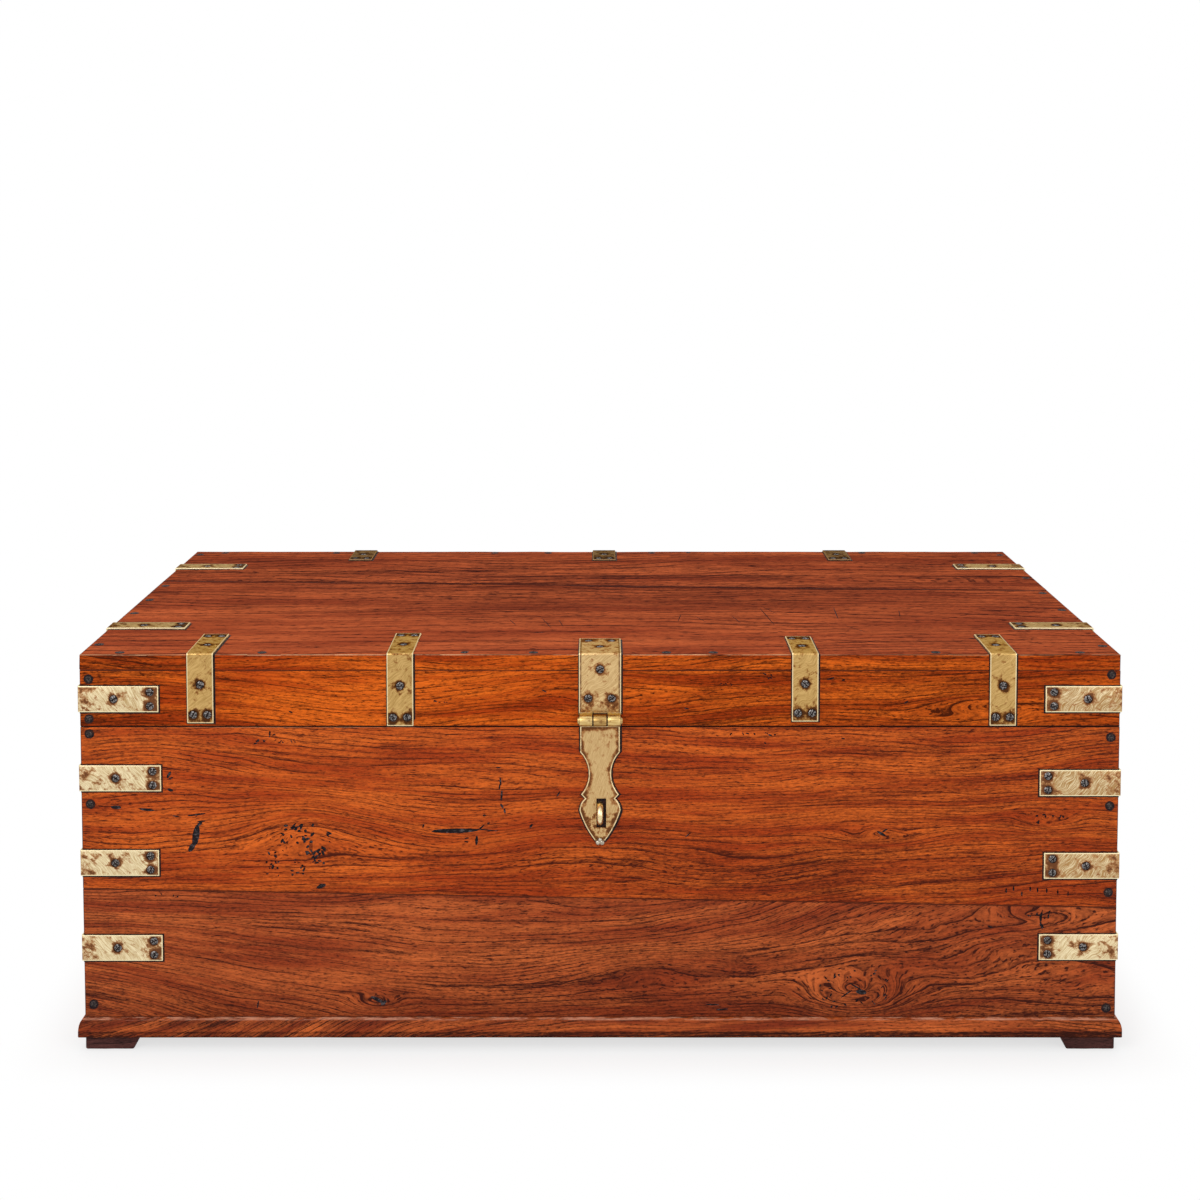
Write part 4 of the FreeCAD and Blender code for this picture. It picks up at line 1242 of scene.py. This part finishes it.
def arc_between(start, through, end, steps):
    """Points on the arc through three points, after the first."""
    (ax, ay), (bx, by), (cx, cy) = start, through, end
    d = 2 * (ax * (by - cy) + bx * (cy - ay) + cx * (ay - by))
    squares = ax * ax + ay * ay, bx * bx + by * by, cx * cx + cy * cy
    x = (squares[0] * (by - cy) + squares[1] * (cy - ay) + squares[2] * (ay - by)) / d
    y = (squares[0] * (cx - bx) + squares[1] * (ax - cx) + squares[2] * (bx - ax)) / d
    turns = [math.atan2(py - y, px - x) for px, py in (start, through, end)]
    for i in (1, 2):
        while abs(turns[i] - turns[i - 1]) > math.pi:
            turns[i] -= math.copysign(2 * math.pi, turns[i] - turns[i - 1])
    radius = math.hypot(ax - x, ay - y)
    steps_to = [turns[0] + (turns[2] - turns[0]) * i / steps for i in range(1, steps + 1)]
    return [(x + radius * math.cos(turn), y + radius * math.sin(turn)) for turn in steps_to]


def flat_shape(name, points, y, thickness):
    """A flat plate of a given outline, from its back at y towards the front."""
    flat = started(name, bpy.ops.mesh.primitive_plane_add, size=0.001)
    with edited(flat, "VERT", lambda place: place.x < 0 or place.y < 0):
        bpy.ops.mesh.delete(type="VERT")
    first = Vector((points[0][0], y, points[0][1]))
    flat.data.transform(Matrix.Translation(first - flat.data.vertices[0].co))
    with edited(flat, "VERT", lambda place: True):
        for (x0, z0), (x1, z1) in zip(points, points[1:]):
            drawn((x1 - x0, 0, z1 - z0))
        bpy.ops.mesh.select_all(action="SELECT")
        bpy.ops.mesh.edge_face_add()
        drawn((0, -thickness, 0))
        bpy.ops.mesh.select_all(action="SELECT")
        bpy.ops.mesh.normals_make_consistent(inside=False)
    return flat


edge = [(leaf_width / 2, leaf_top)]
for kind, *points in leaf_outline:
    points = [(leaf_width * across, hasp_centre[1] - leaf_length * down) for across, down in points]
    edge += points if kind == "line" else arc_between(edge[-1], *points, arc_steps)
outline = edge + [(-x, z) for x, z in edge[::-1]]
leaf_middle = leaf_top - leaf_length / 2


def scaled(wider, longer, shift=0):
    """The outline of the leaf drawn larger or smaller about its middle, and shifted down and right."""
    return [(x * wider + shift, leaf_middle + (z - leaf_middle) * longer - shift) for x, z in outline]


def slot_block(name, grown, front, back):
    """A block as wide and high as the slot, or a little more."""
    low = (slot_side - slot_width / 2 - grown, front, slot_high - slot_height - grown)
    return start_block(name, low, (slot_side + slot_width / 2 + grown, back, slot_high + grown))


leaf = flat_shape("leaf", outline, leaf_back, metal_thickness)
# Under the leaf lies a ring of dark wax: old wax, and the leaf's painted shadow, shifted right and down.
leaf_shadow_outline = scaled(1 + 2 * leaf_shadow_rim / leaf_width, 1 + 2 * leaf_shadow_rim / leaf_length, leaf_shadow_shift)
leaf_shadow = flat_shape("leaf_shadow", leaf_shadow_outline, wall_front + leaf_shadow_root, leaf_shadow_root + dark_sheet_height)
carved(leaf_shadow, flat_shape("shadow_hole", scaled(shadow_hole_share, shadow_hole_share), wall_front + dark_rim, 2 * dark_rim))
# The dark sheet behind the slot is painted shade, seen through the slot.
slot_shade = slot_block("slot_shade", leaf_shadow_shift, wall_front - dark_sheet_height, wall_front + dark_sheet_height)
front = bpy.data.objects["front_upper_teak"]
joined("front_upper_teak", [front, clad(leaf_shadow, wax_and_painted_shade), clad(slot_shade, wax_and_painted_shade)])

leaf_brass, tone = new_finish("leaf_brass")
dark, middle, bright = hasp_tones
line = tone.measured("line", 2)
x, y, z = tone.millimetres()
hair = tone.cloud((x * 0.3 + z) / 14, (x - z * 0.3) / 0.6, 44, rough=0.7).eased(0.33, 0.68)
blotch = tone.cloud(x / 7, z / 9, 46, detail=4, rough=0.66)
edge_stain = (line * 1.5 - 0.05).held() * (blotch * 0.9 + 0.5)
past_slot = tone.math("MAXIMUM", abs(x) - 6, abs(z - 263) - 17)
around_slot = tone.math("EXPONENT", -past_slot / 3)
smudge = tone.cloud(x / 5, z / 6, 49, detail=4, rough=0.7)
low_smudge = z.eased(275, 255) * smudge.eased(0.44, 0.6)
stain = edge_stain * 0.95 + z.eased(318, 350) * 0.3 + (blotch - 0.57) * 3.2
stain = (stain + around_slot.held() * 0.3 + low_smudge * 0.85).held()
colour = stain.eased(0, 0.6).mixed((hair * 0.75 + 0.1).mixed(middle, bright), warmed(hasp_tones))
colour = stain.eased(0.45, 1).mixed(colour, dark)
height = hair * 0.3 - stain * 0.5 + blotch * 0.6
tone.surface(colour, 0.36 + stain * 0.2, (0.3, 0.0004, height), **brass_sheen)

filed_brass = lathe_brass("filed_brass", (hasp_tones[0], (0.7, 0.5, 0.24), (0.95, 0.8, 0.5)), 44.1)
clad(leaf, leaf_brass, filed_brass)
with edited(leaf, "EDGE", lambda a, b: max(a.y, b.y) < leaf_face + together):
    bpy.ops.mesh.bevel(offset=leaf_file, segments=2, material=1)
with edited(leaf, "FACE", lambda centre, facing: facing.y < -0.9 and centre.y < leaf_face + together):
    bpy.ops.mesh.inset(thickness=leaf_line)
marks = leaf.data.attributes.new("line", "FLOAT", "POINT")
inner = {i for face in leaf.data.polygons if face.select for i in face.vertices}
for i in range(len(leaf.data.vertices)):
    marks.data[i].value = 0 if i in inner else 1
carved(leaf, slot_block("slot", 0, leaf_face - slot_clear, leaf_back + slot_clear))
smoothed(leaf, 30)
leaf_roll_brass = lathe_brass("leaf_roll", (hasp_tones[0], (0.36, 0.2, 0.06), (0.6, 0.4, 0.15)), 37.9)
leaf_parts = [leaf, knuckles((0,), *hasp_sizes, leaf_back, leaf_top, leaf_roll_brass)]
knob_brass = lathe_brass("leaf_knob", ((0.05, 0.03, 0.02), (0.34, 0.29, 0.22), (0.74, 0.68, 0.56)), 39.3)
for across, up, radius in knob_balls:
    place = (across, leaf_face - knob_sink, hasp_centre[1] - leaf_length + up)
    ball = {"segments": 16, "ring_count": 10, "radius": radius, "location": place}
    knob = started("knob", bpy.ops.mesh.primitive_uv_sphere_add, **ball)
    bpy.ops.object.shade_smooth()
    leaf_parts.append(clad(knob, knob_brass))
finished(joined("hasp_leaf_brass", leaf_parts), "hasp", "brass", "hasp_leaf")


# Hasp staple: a brass rod bent into a loop, whose two legs go into the front board. It stands
# through the slot of the leaf and takes a padlock.
staple_rod = 0.0034
staple_tones = ((0.3, 0.13, 0.04), (0.74, 0.56, 0.24), (0.98, 0.9, 0.66))
rod_sides = 16


def rod_start(radius, place, heading):
    """A round section square to a heading, from which a rod is drawn."""
    turn = Vector(heading).to_track_quat("Z", "Y").to_euler()
    ring = {"vertices": rod_sides, "radius": radius, "fill_type": "NGON", "rotation": turn}
    rod = started("rod", bpy.ops.mesh.primitive_circle_add, location=place, **ring)
    bpy.ops.object.mode_set(mode="EDIT")
    bpy.ops.mesh.select_all(action="SELECT")
    return rod


def turned(centre, angle, steps=8):
    """Draw the section on round a bend."""
    bpy.ops.mesh.spin(steps=steps, angle=-angle, center=centre, axis=(1, 0, 0))


def rod_end(rod, name, finish):
    """Close the rod and smooth it."""
    bpy.ops.mesh.select_all(action="SELECT")
    bpy.ops.mesh.remove_doubles(threshold=together)
    bpy.ops.mesh.normals_make_consistent(inside=False)
    bpy.ops.object.mode_set(mode="OBJECT")
    rod.name = rod.data.name = name
    smoothed(rod, 40)
    return clad(rod, finish)


staple_low, staple_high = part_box("hasp_staple")
top_z, bottom_z = staple_high.z - staple_rod, staple_low.z + staple_rod
bend_y = staple_low.y + staple_rod + (top_z - bottom_z) / 2
staple_brass = lathe_brass("staple_brass", staple_tones, 52.2)
staple = rod_start(staple_rod, (0, staple_high.y, top_z), (0, -1, 0))
drawn((0, bend_y - staple_high.y, 0))
turned((0, bend_y, (top_z + bottom_z) / 2), math.pi, 14)
drawn((0, staple_high.y - bend_y, 0))
finished(rod_end(staple, "hasp_staple_brass", staple_brass), "case", "brass", "hasp_staple")


# Handle eyes: four brass posts, each on a turned rose, that stand out of the end boards and
# hold the stubs of the two handles.
rose_radius = 0.017
rose_thickness = 0.0025
rose_sides = 32
rose_steps = ((0.0012, 0.25), (0.003, 0.05), (0.0014, 0.3))
eye_radius = 0.008
eye_thickness = 0.009
eye_round = 0.0009
bore_reach = 0.02
handle_rod = 0.0045
handle_tones = ((0.2, 0.085, 0.035), (0.6, 0.43, 0.2), (0.85, 0.7, 0.42))


def domed(piece, facing, steps):
    """Raise the end of a piece in steps: how far in, and how far up."""
    for inset, rise in steps:
        with edited(piece, "FACE", lambda centre, normal: normal.dot(facing) > 0.9):
            bpy.ops.mesh.inset(thickness=inset)
            bpy.ops.transform.translate(value=facing * rise)


handle_brass = lathe_brass("handle_brass", handle_tones, 61.7)
eyes = []
for low, high in solids_in("handle_eyes"):
    sign = math.copysign(1, low.x + high.x)
    middle = (low + high) / 2
    face = case_high.x * sign
    pivot = (high.x if sign > 0 else low.x) - sign * eye_radius
    rose_face = face + sign * rose_thickness * 0.4
    rose = round_bar("rose", rose_radius, (face, *middle.yz), (rose_face, *middle.yz), rose_sides)
    domed(rose, on_axis(0, sign), [(inset, rose_thickness * rise) for inset, rise in rose_steps])
    smoothed(rose, 30)
    post = start_block(
        "post",
        (min(face, pivot), middle.y - eye_thickness / 2, middle.z - eye_radius),
        (max(face, pivot), middle.y + eye_thickness / 2, middle.z + eye_radius),
    )
    for radius, reach, sides, operation in (
        (eye_radius, eye_thickness / 2, roll_sides, "UNION"),
        (handle_rod + pin_clearance, bore_reach, pin_sides, "DIFFERENCE"),
    ):
        ends = ((pivot, middle.y - reach, middle.z), (pivot, middle.y + reach, middle.z))
        carved(post, round_bar("barrel", radius, *ends, sides), operation)
    rounded(post, eye_round, 3, 50)
    smoothed(post)
    eyes += [clad(rose, handle_brass), clad(post, handle_brass)]
finished(joined("handle_eyes_brass", eyes), "case", "brass", "handle_eyes")


# Handles: a brass rod bent into a bail for each end, thicker where the hand holds it, with
# its two stubs turned outward through the eyes.
stub_bend = 0.008
stub_steps = 5
corner_bend = 0.018
grip_steps = 8
grip_swell = 1.28
grip_height = 0.006

for side in ("left", "right"):
    node = side + "_handle"
    low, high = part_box(node)
    x = (low.x + high.x) / 2
    top, bottom = high.z - handle_rod, low.z + handle_rod
    stub_z, corner_z = top - stub_bend, bottom + corner_bend
    arm = -(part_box("handle_eyes")[1].y - rose_radius - eye_thickness / 2 - knuckle_gap - stub_bend)
    grip = -arm - corner_bend
    rod = rod_start(handle_rod, (x, low.y, top), (0, 1, 0))
    drawn((0, arm - stub_bend - low.y, 0))
    turned((x, arm - stub_bend, stub_z), -math.pi / 2, stub_steps)
    drawn((0, 0, corner_z - stub_z))
    turned((x, -grip, corner_z), math.pi / 2)
    for step in range(grip_steps):
        drawn((0, 2 * grip / grip_steps, 0))
    turned((x, grip, corner_z), math.pi / 2)
    drawn((0, 0, stub_z - corner_z))
    turned((x, stub_bend - arm, stub_z), -math.pi / 2, stub_steps)
    drawn((0, arm - stub_bend - low.y, 0))
    rod = rod_end(rod, node + "_brass", handle_brass)
    for vertex in rod.data.vertices:
        if vertex.co.z < bottom + grip_height:
            swell = 1 + (grip_swell - 1) * max(0, 1 - (vertex.co.y / grip) ** 2)
            vertex.co.x = x + (vertex.co.x - x) * swell
            vertex.co.z = bottom + (vertex.co.z - bottom) * (swell if vertex.co.z > bottom else 1)
    finished(rod, node, "brass", node)


# Nails: square-shanked iron nails with beaten heads, driven flush and black with age. Each
# sits in a dark bruise of the wood.
nail_head = 0.0038
nail_rim = 0.0006
nail_steps = ((0.0009, 0.0004), (0.0016, 0.0002))
nail_shank = 0.04
nail_beaten = 0.00035
beaten_depth = 0.001
nail_taper = 0.2
nail_spin = 0.9
nail_bruise = 0.0054
bruise_sunk = 0.0004
bruise_wander = 0.0008
chest_middle = (0, 0, 0.2)
outward, inward = on_axis(2, 1), on_axis(2, -1)
iron = crusted(
    "old_iron", (1.9, 1.9, 1.9), (0.44, 0.66), (0.012, 0.007, 0.007), (0.115, 0.088, 0.08), 0.62,
    relief=(0.6, 0.0004), rough=0.65, Metallic=0.6,
)


def tapered(piece, length, share, inset=0):
    """Draw the shank out of the back of a head, down to a share of its width."""
    with edited(piece, "FACE", lambda centre, normal: normal.dot(inward) > 0.9):
        if inset:
            bpy.ops.mesh.inset(thickness=inset)
        drawn(inward * length)
        bpy.ops.transform.resize(value=(share, share, 1))


def driven(model, kind, turn, sunk=0):
    """Copy the model to each nail or screw, its head outward and each turned a little further."""
    for body in ("case", "lid"):
        node, made = f"{body}_{kind}", []
        for low, high in solids_in(node):
            size, place = high - low, (low + high) / 2
            axis = max(range(3), key=lambda i: size[i])
            side = 1 if place[axis] > chest_middle[axis] else -1
            facing = on_axis(axis, side)
            place[axis] = (high if side > 0 else low)[axis]
            place.z -= sunk * max(facing.z, 0)
            copy = model.copy()
            copy.data = model.data.copy()
            spin = Matrix.Rotation(turn * len(made), 4, "Z")
            aim = facing.to_track_quat("Z", "Y").to_matrix().to_4x4()
            copy.data.transform(Matrix.Translation(place) @ aim @ spin)
            bpy.context.collection.objects.link(copy)
            made.append(copy)
        finished(joined(node + "_steel", made), body, "dark_steel", node)
    bpy.data.objects.remove(model)


nail = round_bar("nail", nail_head, (0, 0, -nail_rim), (0, 0, 0), 8)
domed(nail, outward, nail_steps)
tapered(nail, nail_shank, nail_taper, nail_head * 0.45)
with edited(nail, "VERT", lambda place: place.z > -beaten_depth):
    bpy.ops.transform.vertex_random(offset=nail_beaten, uniform=0, normal=0, seed=4)
bruise = round_bar("bruise", nail_bruise, (0, 0, -bruise_sunk), (0, 0, dark_sheet_height))
with edited(bruise, "FACE", lambda centre, facing: facing.z > 0.9):
    bpy.ops.transform.vertex_random(offset=bruise_wander, uniform=0, normal=0, seed=8)
with edited(bruise, "VERT", lambda place: place.z > -bruise_sunk / 2):
    bpy.ops.transform.resize(value=(1, 1, 0), center_override=(0, 0, dark_sheet_height))
driven(joined("nail", [clad(nail, iron), clad(bruise, wax_and_painted_shade)]), "nails", nail_spin)


# Screws: countersunk steel wood screws with domed, slotted heads that stand a little proud,
# turned each to its own angle. They hold every strap, leaf and plate.
screw_length = 0.015
screw_shank = 0.0019
screw_dome = 0.0009
screw_taper = 0.1
screw_spin = 2.4
screw_steps = ((0.0006, 0.0005), (0.0013, 0.0004))
slot_broad = 0.0011
slot_half = 0.006
slot_rise = 0.003
steel = crusted(
    "old_steel", (1.6, 1.6, 1.6), (0.42, 0.62), (0.016, 0.013, 0.014), (0.26, 0.24, 0.23), 0.5, 0.18,
    relief=(0.5, 0.0003), detail=2, Metallic=1,
)

cone = {"vertices": 12, "radius1": screw_shank, "radius2": screw_head, "depth": metal_thickness}
screw = started("screw", bpy.ops.mesh.primitive_cone_add, location=(0, 0, -metal_thickness / 2), **cone)
domed(screw, outward, screw_steps)
tapered(screw, screw_length - metal_thickness, screw_taper)
clad(screw, steel, wax_and_painted_shade)
# The slot is lined with dark wax: dirt, and painted shade in the slot.
groove = start_block("groove", (-slot_half, -slot_broad / 2, 0), (slot_half, slot_broad / 2, slot_rise))
carved(screw, clad(groove, wax_and_painted_shade), material_mode="TRANSFER")
driven(screw, "screws", screw_spin, screw_dome)

size = {"cad": [list(cad_low), list(cad_high)], "visual": [list(corner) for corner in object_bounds()]}
